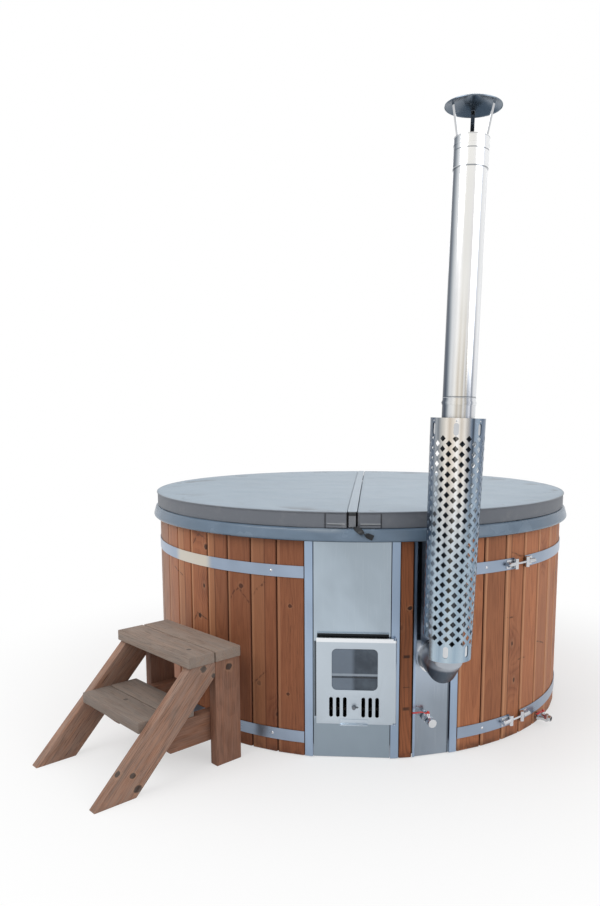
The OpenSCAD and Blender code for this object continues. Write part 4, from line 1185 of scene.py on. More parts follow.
def quarter(axis: str) -> Matrix:
    """A quarter turn about an axis."""
    return Matrix.Rotation(math.pi / 2, 4, axis)


def turned(degrees: float, axis: str = "Z") -> Matrix:
    """A turn about an axis, in degrees."""
    return Matrix.Rotation(math.radians(degrees), 4, axis)


def moved(x: float, y: float, z: float) -> Matrix:
    """A move."""
    return Matrix.Translation((x, y, z))


class Blank:
    """A bmesh in the making."""

    SMOOTH = 35.0  # faces that meet at less than this many degrees are shaded as one

    def __init__(self) -> None:
        """Starts empty."""
        self.bm = bmesh.new()

    def rod(self, radius: float, depth: float, at: Matrix, sides: int, top: float) -> list:
        """Adds a closed cylinder or cone whose middle is at a matrix, along its Z.

        Args:
            radius: Its lower radius.
            depth: Its length.
            at: Where it goes.
            sides: How many sides it has.
            top: Its upper radius.

        Returns:
            Its vertices.
        """
        made = bmesh.ops.create_cone(self.bm, cap_ends=True, segments=sides, radius1=radius,
                                     radius2=top, depth=depth, matrix=at)
        return made["verts"]

    def block(self, size: Point, at: Matrix) -> list:
        """Adds a box round a matrix's origin and returns its vertices."""
        scaled = at @ Matrix.Diagonal((*size, 1.0))
        return bmesh.ops.create_cube(self.bm, size=1.0, matrix=scaled)["verts"]

    def swept(self, thick: float, start: Matrix, degrees: float, steps: int) -> None:
        """Adds an open tube that a circle leaves on its way round the Z axis.

        Args:
            thick: The tube's radius.
            start: The first circle's place, with its normal along the way.
            degrees: How far it goes round. A full turn is closed.
            steps: How many steps it has.
        """
        loop = bmesh.ops.create_circle(self.bm, cap_ends=False, segments=10, radius=thick,
                                       matrix=start)["verts"]
        edges = list(dict.fromkeys(e for v in loop for e in v.link_edges))
        bmesh.ops.spin(self.bm, geom=loop + edges, cent=(0, 0, 0), axis=(0, 0, 1), dvec=(0, 0, 0),
                       angle=math.radians(degrees), steps=steps, use_merge=degrees == 360)

    def torus(self, radius: float, thick: float, at: Matrix) -> None:
        """Adds a ring round a matrix's Z.

        Args:
            radius: From its middle to its tube's middle.
            thick: The tube's radius.
            at: Where it goes.
        """
        before = set(self.bm.verts)
        self.swept(thick, moved(radius, 0, 0) @ quarter("X"), 360, 72)
        made = [v for v in self.bm.verts if v not in before]
        bmesh.ops.transform(self.bm, matrix=at, verts=made)

    def draped(self, us: int, vs: int, place: Callable[[float, float], Vector],
               thick: float) -> float:
        """Adds a sheet whose points are given by their place along and across it.

        Args:
            us: How many faces it has along its length.
            vs: How many faces it has across.
            place: The point for two shares from 0 to 1, along and across.
            thick: Its thickness.

        Returns:
            The area of one side, in square metres.
        """
        made = bmesh.ops.create_grid(self.bm, x_segments=us, y_segments=vs, size=0.5)["verts"]
        low = [min(v.co[i] for v in made) for i in (0, 1)]
        span = [max(v.co[i] for v in made) - low[i] for i in (0, 1)]
        for vert in made:
            vert.co = place(*((vert.co[i] - low[i]) / span[i] for i in (0, 1)))
        faces = list(dict.fromkeys(f for v in made for f in v.link_faces))
        bmesh.ops.recalc_face_normals(self.bm, faces=faces)
        area = sum(f.calc_area() for f in faces)
        bmesh.ops.solidify(self.bm, geom=faces, thickness=thick)
        bmesh.ops.recalc_face_normals(self.bm, faces=self.bm.faces)
        return area

    def screw(self, at: Matrix, radius: float, proud: float) -> None:
        """Adds a low screw head with a round recess, its foot at a matrix, along its Z.

        Args:
            at: Where its foot is.
            radius: Its radius.
            proud: Its height.
        """
        verts = self.rod(radius, proud, at @ moved(0, 0, proud / 2), 18, radius * 0.72)
        direction = (at.to_3x3() @ Vector((0, 0, 1))).normalized()
        top = max({f for v in verts for f in v.link_faces if len(f.verts) > 4},
                  key=lambda f: f.calc_center_median().dot(direction))
        bmesh.ops.inset_region(self.bm, faces=[top], thickness=radius * 0.32)
        deep = bmesh.ops.extrude_discrete_faces(self.bm, faces=[top])["faces"]
        bmesh.ops.translate(self.bm, verts=deep[0].verts, vec=-direction * proud * 0.6)

    def sharp(self, degrees: float) -> list[bmesh.types.BMEdge]:
        """The edges whose two faces meet at more than an angle."""
        limit = math.radians(degrees)
        return [e for e in self.bm.edges
                if len(e.link_faces) == 2 and e.calc_face_angle(0.0) > limit]

    def soften(self, radius: float, degrees: float = 30.0, steps: int = 2) -> None:
        """Rounds the edges that are sharper than an angle.

        Args:
            radius: The edges' radius.
            degrees: The angle between two faces.
            steps: How many faces a rounded edge has.
        """
        bmesh.ops.bevel(self.bm, geom=self.sharp(degrees), offset=radius, segments=steps,
                        profile=0.5, affect="EDGES", material=-1, clamp_overlap=True)

    def ordered(self) -> None:
        """Sorts the parts by place, because a bevel leaves them in another order on each run."""
        for parts in (self.bm.verts, self.bm.edges, self.bm.faces):
            ranks = sorted(parts, key=self.spot)
            parts.sort(key={part: rank for rank, part in enumerate(ranks)}.get)

    @staticmethod
    def spot(part: bmesh.types.BMVert | bmesh.types.BMEdge | bmesh.types.BMFace) -> list[tuple]:
        """Where a part is, for sorting.

        Args:
            part: A vertex, an edge or a face.

        Returns:
            The coordinates of its corners, in rising order.
        """
        corners = (part,) if isinstance(part, bmesh.types.BMVert) else part.verts
        return sorted(tuple(v.co) for v in corners)

    def as_object(self, name: str, finish: Finish) -> bpy.types.Object:
        """Ends the bmesh as an object of the scene.

        Args:
            name: The object's name.
            finish: Its finish.

        Returns:
            The object.
        """
        mesh = bpy.data.meshes.new(name)
        self.bm.to_mesh(mesh)
        self.bm.free()
        mesh.materials.append(finish.material())
        made = bpy.data.objects.new(name, mesh)
        bpy.context.scene.collection.objects.link(made)
        return made

    def done(self, name: str, finish: Finish, body: str, slot: str) -> bpy.types.Object:
        """Ends the bmesh as a named piece, smooth where its faces nearly agree.

        Args:
            name: The piece's name.
            finish: Its finish.
            body: The body that it rides on.
            slot: The record's material slot, which is not used.

        Returns:
            The piece.
        """
        for face in self.bm.faces:
            face.smooth = True
        sharp = set(self.sharp(self.SMOOTH))
        for edge in self.bm.edges:
            edge.smooth = edge not in sharp
        piece = self.as_object(name, finish)
        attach(piece, body)
        LOG.info("%s: %d faces on %s", name, len(piece.data.polygons), body)
        return piece


class Frame:
    """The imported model's nodes."""

    MERGED = 1e-5  # points nearer than this are one, in metres
    FLAT = math.radians(0.5)  # faces that meet at less than this are one

    def __init__(self) -> None:
        """Loads the model."""
        self.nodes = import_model()["nodes"]

    def dress(self, finish: Finish, *names: str) -> None:
        """Gives nodes a finish.

        Args:
            finish: The finish.
            names: The nodes' names.
        """
        for name in names:
            for slot in self.nodes[name].material_slots:
                slot.material = finish.material()

    def eased(self, node: str, finish: Finish, body: str, slot: str, radius: float,
              steps: int = 2) -> bpy.types.Object:
        """Replaces a node by a copy with rounded edges.

        Args:
            node: The node.
            finish: The copy's finish.
            body: The body that it rides on.
            slot: The record's material slot, passed on to done, which does not use it.
            radius: The edges' radius.
            steps: How many faces a rounded edge has.

        Returns:
            The copy.
        """
        blank = Blank()
        blank.bm.from_mesh(self.nodes[node].data)
        bmesh.ops.remove_doubles(blank.bm, verts=blank.bm.verts, dist=self.MERGED)
        bmesh.ops.dissolve_limit(blank.bm, angle_limit=self.FLAT, verts=blank.bm.verts,
                                 edges=blank.bm.edges)
        blank.soften(radius, steps=steps)
        piece = blank.done(node + "_eased", finish, body, slot)
        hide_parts(node)
        return piece


# --- Sub-assemblies ---


@dataclass
class Studio:
    """Camera, lights, world and floor.

    Attributes:
        eye: The camera's place, in metres.
        yaw: Its turn to the left, in degrees.
        pitch: Its tilt, in degrees.
        roll: Its roll, in degrees.
        focal: Its focal length, in pixels of the frame.
        middle: The principal point's offset from the frame's middle, in pixels right and down.
        frame_high: Height of the frame, in pixels.
        lamps: Name, place, side of the square and power in watts of each lamp.
        aim: The point that the lamps look at.
        bands: Greys that metal shows low round it, by the share of a turn from behind.
        above: The grey that metal shows higher up.
        light: Greys of the sky's light, from below and from above.
        floor_r: Radius of the floor, in metres.
    """

    eye: Point = (0.08217, -3.92274, 1.3947)
    yaw: float = 3.9046
    pitch: float = -7.775
    roll: float = -0.049
    focal: float = 762.63
    middle: tuple[float, float] = (22.11, 62.61)
    frame_high: float = 906.0
    lamps: tuple[tuple[str, Point, float, float], ...] = (
        ("key", (-3.2, -3.4, 4.6), 3.2, 108.0), ("fill", (3.6, -3.2, 3.0), 3.0, 52.0),
        ("back", (0.5, 4.2, 4.2), 3.0, 46.0))
    aim: Point = (0.0, -0.4, 0.7)
    bands: tuple[tuple[float, float], ...] = (
        (0.00, 0.80), (0.09, 0.62), (0.16, 0.92), (0.26, 0.95), (0.33, 0.78), (0.40, 1.0),
        (0.53, 0.95), (0.58, 0.70), (0.64, 0.95), (0.78, 0.84), (0.86, 0.95), (1.0, 0.80))
    above: float = 0.97
    light: tuple[float, float] = (0.48, 0.74)
    floor_r: float = 30.0

    def build(self) -> None:
        """Makes everything that isn't part of the object."""
        self.camera()
        self.world()
        self.floor()
        for lamp in self.lamps:
            self.lamp(*lamp)
        bpy.context.scene.view_settings.view_transform = "Standard"

    def camera(self) -> None:
        """The camera at the photograph's viewing angle."""
        data = bpy.data.cameras.new("camera")
        data.sensor_width = 36.0
        data.lens = self.focal / self.frame_high * data.sensor_width
        data.shift_x = -self.middle[0] / self.frame_high
        data.shift_y = self.middle[1] / self.frame_high
        camera = bpy.data.objects.new("camera", data)
        turn = turned(self.yaw) @ turned(90 + self.pitch, "X") @ turned(self.roll)
        camera.matrix_world = moved(*self.eye) @ turn
        bpy.context.scene.collection.objects.link(camera)
        bpy.context.scene.camera = camera

    def lamp(self, name: str, at: Point, size: float, watts: float) -> None:
        """Adds a soft lamp that looks at the tub.

        Args:
            name: Its name.
            at: Its place.
            size: The side of its square.
            watts: Its power.
        """
        data = bpy.data.lights.new(name, "AREA")
        data.size = size
        data.energy = watts
        lamp = bpy.data.objects.new(name, data)
        aim = Vector(self.aim) - Vector(at)
        lamp.matrix_world = moved(*at) @ aim.to_track_quat("-Z", "Y").to_matrix().to_4x4()
        bpy.context.scene.collection.objects.link(lamp)

    def world(self) -> None:
        """White for the camera, an even sky for the light, and soft bands for what metal shows."""
        world = bpy.data.worlds.new("sky")
        bpy.context.scene.world = world
        graph = Graph(world)
        x, y, z = graph.parts(graph.node("ShaderNodeTexCoord")["Generated"])
        turn = x.angle(y * -1.0) / math.tau + 0.5
        stops = [(share, grey(level)) for share, level in self.bands]
        bands = graph.node("ShaderNodeValToRGB", {"stops": stops}, {"Fac": turn})["Color"]
        high = z.rise(-0.1, 0.6)
        rays = graph.node("ShaderNodeLightPath")
        lit = graph.mix(grey(self.light[0]), grey(self.light[1]), high)
        shown = graph.mix(bands, grey(self.above), high)
        seen = graph.mix(lit, shown, rays["Is Glossy Ray"])
        plain = rays["Is Camera Ray"].larger(rays["Is Transmission Ray"])
        colour = {"Color": graph.mix(seen, grey(1.0), plain), "Strength": 1.0}
        back = graph.node("ShaderNodeBackground", None, colour)["Background"]
        graph.node("ShaderNodeOutputWorld", None, {"Surface": back})

    def floor(self) -> None:
        """A pale floor that keeps the object's shadow."""
        blank = Blank()
        bmesh.ops.create_circle(blank.bm, cap_ends=True, segments=64, radius=self.floor_r)
        blank.as_object("floor", FLOOR)


@dataclass
class Carcass:
    """The boards, the moulded rim, the hoops and their tensioners.

    Attributes:
        frame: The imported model.
    """

    frame: Frame

    def build(self) -> None:
        """Dresses the tub's wooden shell."""
        dress = self.frame.dress
        dress(BOARDS, "boards")
        dress(NARROW, "narrow_board")
        dress(JOISTS, "base_joists", "floor_board")
        dress(RING_WOOD, "top_ring")
        dress(RIM, "liner")
        dress(HOOP, "upper_hoop", "lower_hoop")
        dress(BOLT, "upper_hoop_lugs", "lower_hoop_lugs", "upper_hoop_bolt", "lower_hoop_bolt",
              "hoop_screws")


@dataclass
class Front:
    """The steel panels, the stove and its door.

    Attributes:
        frame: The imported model.
        screw_at: The foot of the screw in the panel under the door.
        door_edge: Radius of the door's edges, in metres.
        pull_edge: Radius of the pull's edges.
    """

    frame: Frame
    screw_at: Point = (0.014, -0.980745, 0.138)
    door_edge: float = 0.0012
    pull_edge: float = 0.0006

    def build(self) -> None:
        """Dresses the stove front and adds its screw."""
        dress, eased = self.frame.dress, self.frame.eased
        dress(PANEL, "stove_panel")
        dress(FLUE_PANEL, "flue_panel")
        dress(STRIP, "stove_panel_strips", "flue_panel_strips", "hinge_ears")
        dress(GLASS, "door_glass")
        dress(STOVE, "glass_retainer", "air_slide", "air_slide_guides", "smoke_box")
        dress(BOLT, "hinge_rod")
        dress(JACKET, "firebox", "water_jacket")
        dress(GRATE, "fire_grate")
        dress(CHROME, "circulation_pipes")
        eased("stove_door", DOOR, "stove_door", "door_aluminium", self.door_edge, 3)
        eased("door_pull", DOOR, "stove_door", "door_aluminium", self.pull_edge)
        self.panel_screw()

    def panel_screw(self) -> None:
        """The screw in the panel under the door."""
        blank = Blank()
        blank.screw(moved(*self.screw_at) @ quarter("X"), 0.0045, 0.0022)
        blank.done("panel_screw", BOLT, "tub", "bolt_steel")


@dataclass
class Chimney:
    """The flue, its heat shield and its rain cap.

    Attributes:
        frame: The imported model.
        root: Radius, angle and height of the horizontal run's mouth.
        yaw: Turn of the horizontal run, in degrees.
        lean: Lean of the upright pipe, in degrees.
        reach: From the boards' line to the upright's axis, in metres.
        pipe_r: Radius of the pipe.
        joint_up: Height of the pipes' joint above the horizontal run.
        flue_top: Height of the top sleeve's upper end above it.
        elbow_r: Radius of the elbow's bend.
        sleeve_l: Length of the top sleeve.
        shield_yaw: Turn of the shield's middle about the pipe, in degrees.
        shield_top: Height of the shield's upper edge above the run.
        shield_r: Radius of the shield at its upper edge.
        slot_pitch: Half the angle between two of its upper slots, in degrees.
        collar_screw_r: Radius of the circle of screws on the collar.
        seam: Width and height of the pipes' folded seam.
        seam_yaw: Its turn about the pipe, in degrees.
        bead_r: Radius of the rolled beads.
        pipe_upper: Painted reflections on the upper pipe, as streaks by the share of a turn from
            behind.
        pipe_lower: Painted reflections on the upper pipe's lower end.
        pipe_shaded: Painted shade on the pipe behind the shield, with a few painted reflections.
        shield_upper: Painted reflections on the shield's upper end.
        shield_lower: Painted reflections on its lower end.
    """

    frame: Frame
    root: tuple[float, float, float] = (0.999, 19.1401, 0.42)
    yaw: float = 12.2
    lean: float = 1.57
    reach: float = 0.158
    pipe_r: float = 0.060
    joint_up: float = 1.005
    flue_top: float = 1.917
    elbow_r: float = 0.078
    sleeve_l: float = 0.108
    shield_yaw: float = 6.5
    shield_top: float = 0.951
    shield_r: float = 0.100
    slot_pitch: float = 27.5
    collar_screw_r: float = 0.0645
    seam: tuple[float, float] = (0.005, 0.0014)
    seam_yaw: float = 52.0
    bead_r: float = 0.0011
    pipe_upper: Stops = (
        (0.0, "d9dce0"), (0.20, "8b929b"), (0.275, "59626f"), (0.30, "8f979f"), (0.34, "dfe2e5"),
        (0.40, "f8f8f8"), (0.43, "efeeea"), (0.475, "f1f0ed"), (0.505, "f8f8f8"),
        (0.535, "e9ebef"), (0.575, "e4e7ed"), (0.60, "f8f9fa"), (0.70, "f0f2f4"),
        (0.78, "a9b0b8"), (0.86, "e3e6ea"), (1.0, "d9dce0"))
    pipe_lower: Stops = (
        (0.0, "d9dce0"), (0.20, "6b7380"), (0.30, "4d5664"), (0.325, "8f979f"), (0.355, "dfe2e5"),
        (0.40, "f2f1ee"), (0.43, "cfc7ba"), (0.45, "e9e5de"), (0.475, "c6beb0"), (0.49, "f4f4f4"),
        (0.51, "bab5ad"), (0.53, "9aa0aa"), (0.56, "d9dce4"), (0.575, "8d94a1"), (0.60, "f0f1f4"),
        (0.70, "e8ecf0"), (0.78, "a9b0b8"), (0.86, "e3e6ea"), (1.0, "d9dce0"))
    pipe_shaded: Stops = (
        (0.0, "343b45"), (0.30, "2a3038"), (0.41, "3a4048"), (0.45, "a19d95"), (0.49, "565b62"),
        (0.56, "343b45"), (1.0, "343b45"))
    shield_upper: Stops = (
        (0.0, "b8c2cc"), (0.22, "6f7c8d"), (0.29, "5c6a7e"), (0.315, "a8adb2"), (0.33, "7d848c"),
        (0.36, "c9c7c2"), (0.385, "f1ebe2"), (0.405, "cfc4b6"), (0.43, "e9e1d6"), (0.45, "fdfbf8"),
        (0.47, "d8cfc3"), (0.49, "f4efe8"), (0.51, "b1afae"), (0.53, "6d7b8d"), (0.545, "39424e"),
        (0.556, "8c9bac"), (0.58, "9fb0c1"), (0.62, "5a6b83"), (0.68, "7e8fa3"), (0.80, "c3ccd5"),
        (1.0, "b8c2cc"))
    shield_lower: Stops = (
        (0.0, "a9b9c4"), (0.22, "73849a"), (0.30, "8ea2b3"), (0.36, "aebfcc"), (0.40, "98abbb"),
        (0.45, "b6c6d1"), (0.50, "9bafbe"), (0.55, "acbdca"), (0.61, "8095a8"), (0.66, "93a6b7"),
        (0.8, "a9b9c4"), (1.0, "a9b9c4"))

    def run(self) -> Matrix:
        """The frame of the horizontal run, which goes out along its -Y."""
        return moved(*polar(*self.root)) @ turned(self.yaw) @ turned(self.lean, "Y")

    def upright(self, z: float = 0.0) -> Matrix:
        """The frame of the upright pipe at a height above the horizontal run."""
        return self.run() @ moved(0.0, -self.reach, z)

    def side(self, z: float, degrees: float, radius: float) -> Matrix:
        """A place beside the upright pipe, turned to face its axis.

        Args:
            z: Its height above the horizontal run.
            degrees: Its turn about the pipe.
            radius: Its distance from the axis.

        Returns:
            Its frame, with the axis along its Y.
        """
        return self.upright(z) @ turned(degrees) @ moved(0.0, -radius, 0.0)

    def build(self) -> None:
        """Dresses the flue and adds seams, beads and screws."""
        dress, upright = self.frame.dress, self.upright()
        bead, foot = self.joint_up + 0.0215, self.flue_top - self.sleeve_l
        # The pipe's, the sleeve's and the shield's streaks are painted reflections.
        pipe = Rolled(
            "pipe_steel", span=(1.0, 1.5), rough=0.16, smear=0.05, line=0.000004, cloud=0.06,
            frame=upright, upper=self.pipe_upper, lower=self.pipe_lower, seams=(bead,))
        sleeve = Rolled(
            "sleeve_steel", rough=0.22, smear=0.05, line=0.000004, cloud=0.05,
            frame=upright, upper=self.pipe_upper, seams=(foot + 0.002, foot + 0.062))
        shield = Rolled(
            "shield_steel", span=(0.30, 0.85), rough=0.24, smear=0.06, cloud=0.08,
            frame=upright, upper=self.shield_upper, lower=self.shield_lower)
        # The pipe behind the shield gets painted shade, with a few painted reflections.
        hidden = Rolled(
            "shaded_pipe_steel", span=(self.shield_top - 0.03, self.shield_top), rough=0.3,
            smear=0.05, cloud=0.2, frame=upright, upper=self.pipe_lower, lower=self.pipe_shaded)
        dress(pipe, "upper_pipe", "pipe_clamp")
        dress(hidden, "lower_pipe")
        dress(sleeve, "top_sleeve")
        dress(shield, "heat_shield")
        dress(CHROME, "flue_collar", "cap_legs", "shield_brackets")
        dress(ELBOW, "flue_elbow", "flue_stub")
        dress(CAP, "rain_cap")
        self.seams(pipe)
        self.beads()
        self.shield_screws()
        self.collar_screws()

    def seams(self, pipe: Finish) -> None:
        """The folded seam along each pipe.

        Args:
            pipe: The pipes' finish.
        """
        blank = Blank()
        low, high = self.elbow_r + 0.034, self.flue_top - self.sleeve_l - 0.002
        for start, end in ((low, self.joint_up - 0.01), (self.joint_up + 0.01, high)):
            at = self.side((start + end) / 2, self.seam_yaw, self.pipe_r)
            blank.block((*self.seam, end - start), at)
        blank.soften(0.0005)
        blank.done("pipe_seams", pipe, "tub", "flue_steel")

    def beads(self) -> None:
        """The rolled beads at the pipe joint and on the top sleeve."""
        blank = Blank()
        sleeve_r, foot = self.pipe_r + 0.0018, self.flue_top - self.sleeve_l
        for z, radius in ((self.joint_up + 0.018, self.pipe_r + 0.0004),
                          (foot + 0.004, sleeve_r), (self.flue_top - 0.003, sleeve_r)):
            blank.torus(radius, self.bead_r, self.upright(z))
        blank.done("pipe_beads", CHROME, "tub", "flue_steel")

    def shield_screws(self) -> None:
        """A screw above each of the shield's upper slots."""
        blank = Blank()
        for i in (-3, -1, 1, 3):
            at = self.side(self.shield_top - 0.0105, self.shield_yaw + i * self.slot_pitch,
                           self.shield_r)
            blank.screw(at @ quarter("X"), 0.0032, 0.0022)
        blank.done("shield_screws", BOLT, "tub", "bolt_steel")

    def collar_screws(self) -> None:
        """Four screws round the collar."""
        blank = Blank()
        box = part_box("flue_collar")
        centre = (box[0] + box[1]) / 2
        face = moved(centre.x, centre.y, self.root[2]) @ turned(self.root[1]) @ quarter("X")
        for degrees in (40, 140, 220, 320):
            a = math.radians(degrees)
            radius = self.collar_screw_r
            spot = moved(radius * math.cos(a), radius * math.sin(a), 0.0035)
            blank.screw(face @ spot, 0.0030, 0.0016)
        blank.done("collar_screws", BOLT, "tub", "bolt_steel")


@dataclass
class Valves:
    """The two drain valves.

    Attributes:
        frame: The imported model.
        edge: Radius of the levers' edges, in metres.
    """

    frame: Frame
    edge: float = 0.0006

    def build(self) -> None:
        """Dresses the valves and their red levers."""
        self.frame.dress(CHROME, "stove_valve", "tub_valve", "drain_cap", "stove_drain_pipe",
                         "tub_drain_pipe")
        for lever in ("stove_valve_lever", "tub_valve_lever"):
            self.frame.eased(lever, LEVER, lever, "lever_red", self.edge)


class Side(Enum):
    """Which half of the cover, by the sign of its X."""

    LEFT = -1
    RIGHT = 1

    @property
    def word(self) -> str:
        """The side's name as it stands in the names of pieces and bodies."""
        return self.name.lower()


@dataclass
class Cover:
    """The padded cover in two halves with its folding strip, pockets, piping and strap.

    Attributes:
        frame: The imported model.
        radius: Its outer radius.
        low: Height of its underside.
        edge: Height of its upper edge.
        crown: How much higher its middle is.
        gap: Width between the halves.
        piping: Radius of its piping.
        corner: Radius of a half's edges.
        cell: Spacing of the cloth's points.
        held: Width of the sewn edge that doesn't move.
        give: How far the cloth may move, in metres.
        frames: How many steps the cloth simulation has.
        pockets: Angles of each half's pocket's sides, in degrees.
        pocket_thick: Thickness of the pockets' cloth.
        welt: Height of the pockets' welts.
        sheet_thick: Thickness of the strip's and the strap's cloth.
        fold_w: Width of the folding strip on top.
        flap_w: Width of the flap at each of its ends.
        lap: The strip's way over the edge, as points past the radius and below the upper edge.
        flap_up: Height of the flap's end above the cover's underside.
        strap_w: Width of the strap.
        strap_way: The strap's way over the rim, as radii, degrees from the front and heights.
        strap_twist: How far the strap is twisted, in degrees.
    """

    frame: Frame
    radius: float = 1.013
    low: float = 0.9463
    edge: float = 1.0123
    crown: float = 0.006
    gap: float = 0.038
    piping: float = 0.004
    corner: float = 0.005
    cell: float = 0.025
    held: float = 0.03
    give: float = 0.0035
    frames: int = 18
    pockets: tuple[tuple[float, float], ...] = ((-5.94, -1.24), (1.62, 6.28))
    pocket_thick: float = 0.0016
    welt: float = 0.964
    sheet_thick: float = 0.0014
    fold_w: float = 0.0360
    flap_w: float = 0.0276
    lap: tuple[tuple[float, float], ...] = (
        (0.0010, 0.0010), (0.0018, 0.0070), (-0.0010, 0.0125), (-0.0030, 0.0180))
    flap_up: float = 0.0060
    strap_w: float = 0.022
    strap_way: tuple[Point, ...] = (
        (1.0165, 0.9, 0.9545), (1.0175, 0.9, 0.9480), (1.0225, 1.2, 0.9440), (1.0275, 1.7, 0.9380),
        (1.0305, 2.6, 0.9290), (1.0320, 3.5, 0.9210), (1.0325, 4.5, 0.9130))
    strap_twist: float = 165.0

    def build(self) -> None:
        """Makes the cover's pieces."""
        for side, pocket in zip(Side, self.pockets):
            half = self.half(side, pocket)
            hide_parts(f"cover_{side.word}")
            self.trim(side)
        self.fold()
        self.strap()

    def level(self, x: float, y: float) -> float:
        """Height of the cover's crowned top."""
        return self.edge + self.crown * (1.0 - min(1.0, math.hypot(x, y) / self.radius) ** 2)

    def half(self, side: Side, pocket: tuple[float, float]) -> bpy.types.Object:
        """One half: a cut disc with rounded edges, a crowned top and a loose cloth skin.

        Args:
            side: Which half.
            pocket: Angles of its pocket's sides, in degrees.

        Returns:
            The piece.
        """
        blank = Blank()
        bm = blank.bm
        bmesh.ops.create_circle(bm, cap_ends=True, segments=216, radius=self.radius - 0.002)
        sign = float(side.value)
        bmesh.ops.bisect_plane(bm, geom=bm.verts[:] + bm.edges[:] + bm.faces[:], dist=1e-6,
                               plane_co=(sign * self.gap / 2, 0, 0), plane_no=(sign, 0, 0),
                               clear_inner=True)
        bmesh.ops.translate(bm, verts=bm.verts, vec=(0, 0, self.low))
        grown = bmesh.ops.extrude_face_region(bm, geom=bm.faces[:])["geom"]
        bmesh.ops.translate(bm, verts=[g for g in grown if isinstance(g, bmesh.types.BMVert)],
                            vec=(0, 0, self.edge - self.low - 0.001))
        bmesh.ops.recalc_face_normals(bm, faces=bm.faces)
        blank.soften(self.corner, 50.0, 3)
        self.cut(bm, sign)
        for vert in bm.verts:
            if vert.co.z > self.edge - 0.004:
                vert.co.z += self.level(vert.co.x, vert.co.y) - self.edge
        blank.ordered()
        self.settle(bm)
        self.pocket(blank, pocket)
        bmesh.ops.recalc_face_normals(bm, faces=bm.faces)
        return blank.done(f"cover_half_{side.word}", CLOTH, f"cover_{side.word}_half",
                          "cover_cloth")

    def cut(self, bm: bmesh.types.BMesh, sign: float) -> None:
        """Cuts a half into small faces.

        Args:
            bm: The half.
            sign: The sign of its X.
        """
        count = int(self.radius / self.cell)
        planes = [((sign * (self.gap / 2 + i * self.cell), 0, 0), (1, 0, 0))
                  for i in range(1, count + 1)]
        planes += [((0, i * self.cell, 0), (0, 1, 0)) for i in range(-count, count + 1)]
        planes += [((0, 0, self.low + 0.0165 * i), (0, 0, 1)) for i in (1, 2, 3)]
        for co, no in planes:
            bmesh.ops.bisect_plane(bm, geom=bm.verts[:] + bm.edges[:] + bm.faces[:], dist=1e-6,
                                   plane_co=co, plane_no=no)

    def loose(self, bm: bmesh.types.BMesh) -> bpy.types.Object:
        """Makes a copy of a half whose skin a cloth simulation can move.

        Args:
            bm: The half.

        Returns:
            The copy, with faint waves to start from and its sewn edges held.
        """
        mesh = bpy.data.meshes.new("skin")
        bm.to_mesh(mesh)
        skin = bpy.data.objects.new("skin", mesh)
        bpy.context.scene.collection.objects.link(skin)
        held = skin.vertex_groups.new(name="held")
        for vert in mesh.vertices:
            x, y, _ = vert.co
            inside = min(self.radius - math.hypot(x, y), abs(x) - self.gap / 2)
            held.add([vert.index], 1.0 if inside < self.held else 0.12, "REPLACE")
            vert.co.z += 0.002 * noise.noise(vert.co * 5.0)
        cloth = skin.modifiers.new("cloth", "CLOTH")
        for name, value in (
                ("quality", 4), ("mass", 0.2), ("tension_stiffness", 12.0),
                ("compression_stiffness", 12.0), ("bending_stiffness", 0.4),
                ("shrink_min", -0.012), ("vertex_group_mass", "held"), ("pin_stiffness", 0.6)):
            setattr(cloth.settings, name, value)
        cloth.settings.effector_weights.gravity = 0.0
        cloth.collision_settings.use_collision = False
        cloth.point_cache.frame_end = self.frames
        return skin

    def settle(self, bm: bmesh.types.BMesh) -> None:
        """Lets the skin between the sewn edges settle into soft waves.

        Args:
            bm: The half, whose points are moved.
        """
        skin, scene = self.loose(bm), bpy.context.scene
        for frame in range(1, self.frames + 1):
            scene.frame_set(frame)
        after = skin.evaluated_get(bpy.context.evaluated_depsgraph_get()).to_mesh()
        largest = 0.0
        for vert, last in zip(bm.verts, after.vertices):
            shift = last.co - vert.co
            largest = max(largest, shift.length)
            vert.co += shift * (self.give / (self.give + shift.length))
        LOG.info("cloth moved by up to %.1f mm before its limit", largest * 1000)
        mesh = skin.data
        bpy.data.objects.remove(skin)
        bpy.data.meshes.remove(mesh)
        scene.frame_set(1)

    def pocket(self, blank: Blank, sides: tuple[float, float]) -> None:
        """Adds a hand pocket's cloth with its welt to a half.

        Args:
            blank: The half.
            sides: The angles of the pocket's two sides, in degrees.
        """
        low, high = self.low + 0.004, self.edge - 0.010

        def place(along: float, up: float) -> Vector:
            """The cloth's point, a little proud of the side, and more so at the welt.

            Args:
                along: Its share of the way from side to side.
                up: Its share of the height.

            Returns:
                The point.
            """
            z = low + (high - low) * up
            proud = 0.0012 + 0.0022 * math.exp(-((z - self.welt) / 0.0032) ** 2)
            return polar(self.radius + proud, sides[0] + (sides[1] - sides[0]) * along, z)

        blank.draped(16, 36, place, self.pocket_thick)

    def trim(self, side: Side) -> None:
        """The piping round a half's upper edge.

        Args:
            side: Which half.
        """
        blank = Blank()
        start = math.degrees(math.asin((self.gap / 2 + 0.004) / self.radius))
        radius = self.radius - self.piping * 0.6
        first = (turned(side.value * start) @ moved(0.0, -radius, self.edge - self.piping)
                 @ quarter("Y"))
        blank.swept(self.piping, first, side.value * (180 - 2 * start), 110)
        bmesh.ops.holes_fill(blank.bm, edges=blank.bm.edges, sides=12)
        bmesh.ops.recalc_face_normals(blank.bm, faces=blank.bm.faces)
        blank.done(f"cover_piping_{side.word}", PIPING, f"cover_{side.word}_half", "cover_cloth")

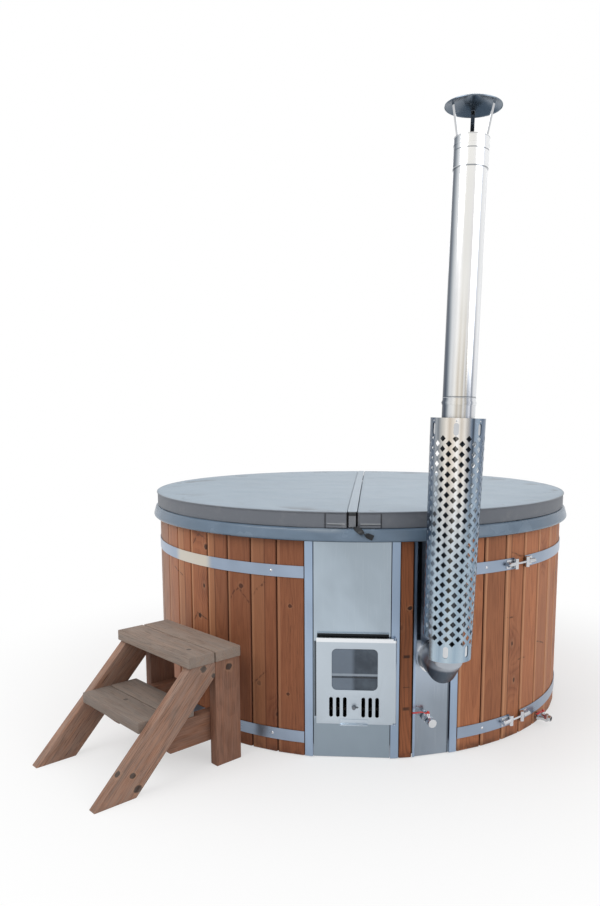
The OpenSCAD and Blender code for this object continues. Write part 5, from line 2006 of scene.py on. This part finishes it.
    def fold(self) -> None:
        """The folding strip, which laps over the edge and turns down in a flap at each end."""
        end = [(-self.radius - out, self.edge - down) for out, down in self.lap]
        end.append((end[-1][0], self.low + self.flap_up))
        top = [(y, self.level(0.0, y) + 0.0004) for y in
               [(-self.radius + 0.006) * (1 - 2 * i / 40) for i in range(41)]]
        points = end[::-1] + top + [(-y, z) for y, z in end]
        path = Path([Vector((0.0, y, z)) for y, z in points])

        def place(along: float, across: float) -> Vector:
            """The strip's point, which is narrower on the flaps.

            Args:
                along: Its share of the length.
                across: Its share of the width.

            Returns:
                The point.
            """
            point = path.at(along)
            width = self.fold_w if point.z > self.edge - 0.002 else self.flap_w
            return Vector((width / 2 * (2 * across - 1), point.y, point.z))

        blank = Blank()
        area = blank.draped(150, 6, place, self.sheet_thick)
        piece = blank.done("cover_fold_strip", STRIPE, "cover_left_half", "cover_cloth")
        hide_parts("cover_fold")
        area / self.fold_w

    def strap(self) -> None:
        """The loose strap end, which comes out under the flap, twists over the rim and hangs."""
        width = self.strap_w
        path = Path([polar(*spot) for spot in self.strap_way])

        def place(along: float, across: float) -> Vector:
            """The strap's point, turned about its length by its twist.

            Args:
                along: Its share of the length.
                across: Its share of the width.

            Returns:
                The point.
            """
            point = path.at(along)
            ahead = path.at(min(1.0, along + 0.02)) - path.at(max(0.0, along - 0.02))
            ahead.normalize()
            outward = Vector((point.x, point.y, 0.0)).normalized()
            outward = (outward - ahead * outward.dot(ahead)).normalized()
            sideways = ahead.cross(outward)
            share = min(1.0, max(0.0, (along - 0.25) / 0.55))
            twist = math.radians(self.strap_twist) * share * share * (3 - 2 * share)
            reach = width * (across - 0.5)
            stand = abs(math.sin(twist)) * width / 2
            middle = point + outward * (stand + reach * math.sin(twist))
            return middle + sideways * (reach * math.cos(twist))

        blank = Blank()
        area = blank.draped(60, 6, place, self.sheet_thick)
        piece = blank.done("cover_strap_end", WEB, "cover_right_half", "strap_web")
        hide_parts("cover_strap")
        area / width


@dataclass
class Steps:
    """The free-standing steps.

    Attributes:
        frame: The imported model.
        edge: Radius of the planks' edges, in metres.
    """

    frame: Frame
    edge: float = 0.0035

    def build(self) -> None:
        """Replaces the planks by copies with eased edges."""
        for finish, *nodes in ((RAKES, "step_left_side", "step_right_side"), (POSTS, "step_posts"),
                               (RAILS, "step_rails"), (TREADS, "upper_tread", "lower_tread")):
            for node in nodes:
                self.frame.eased(node, finish, "steps", "step_wood", self.edge, 3)


def main() -> None:
    """Builds the scene."""
    logging.basicConfig(level=logging.INFO, format="%(name)s: %(message)s")
    frame = Frame()
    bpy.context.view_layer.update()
    Studio().build()
    for kind in (Carcass, Front, Chimney, Valves, Cover, Steps):
        kind(frame).build()
        LOG.info("%s built", kind.__name__)


if __name__ == "__main__":
    main()
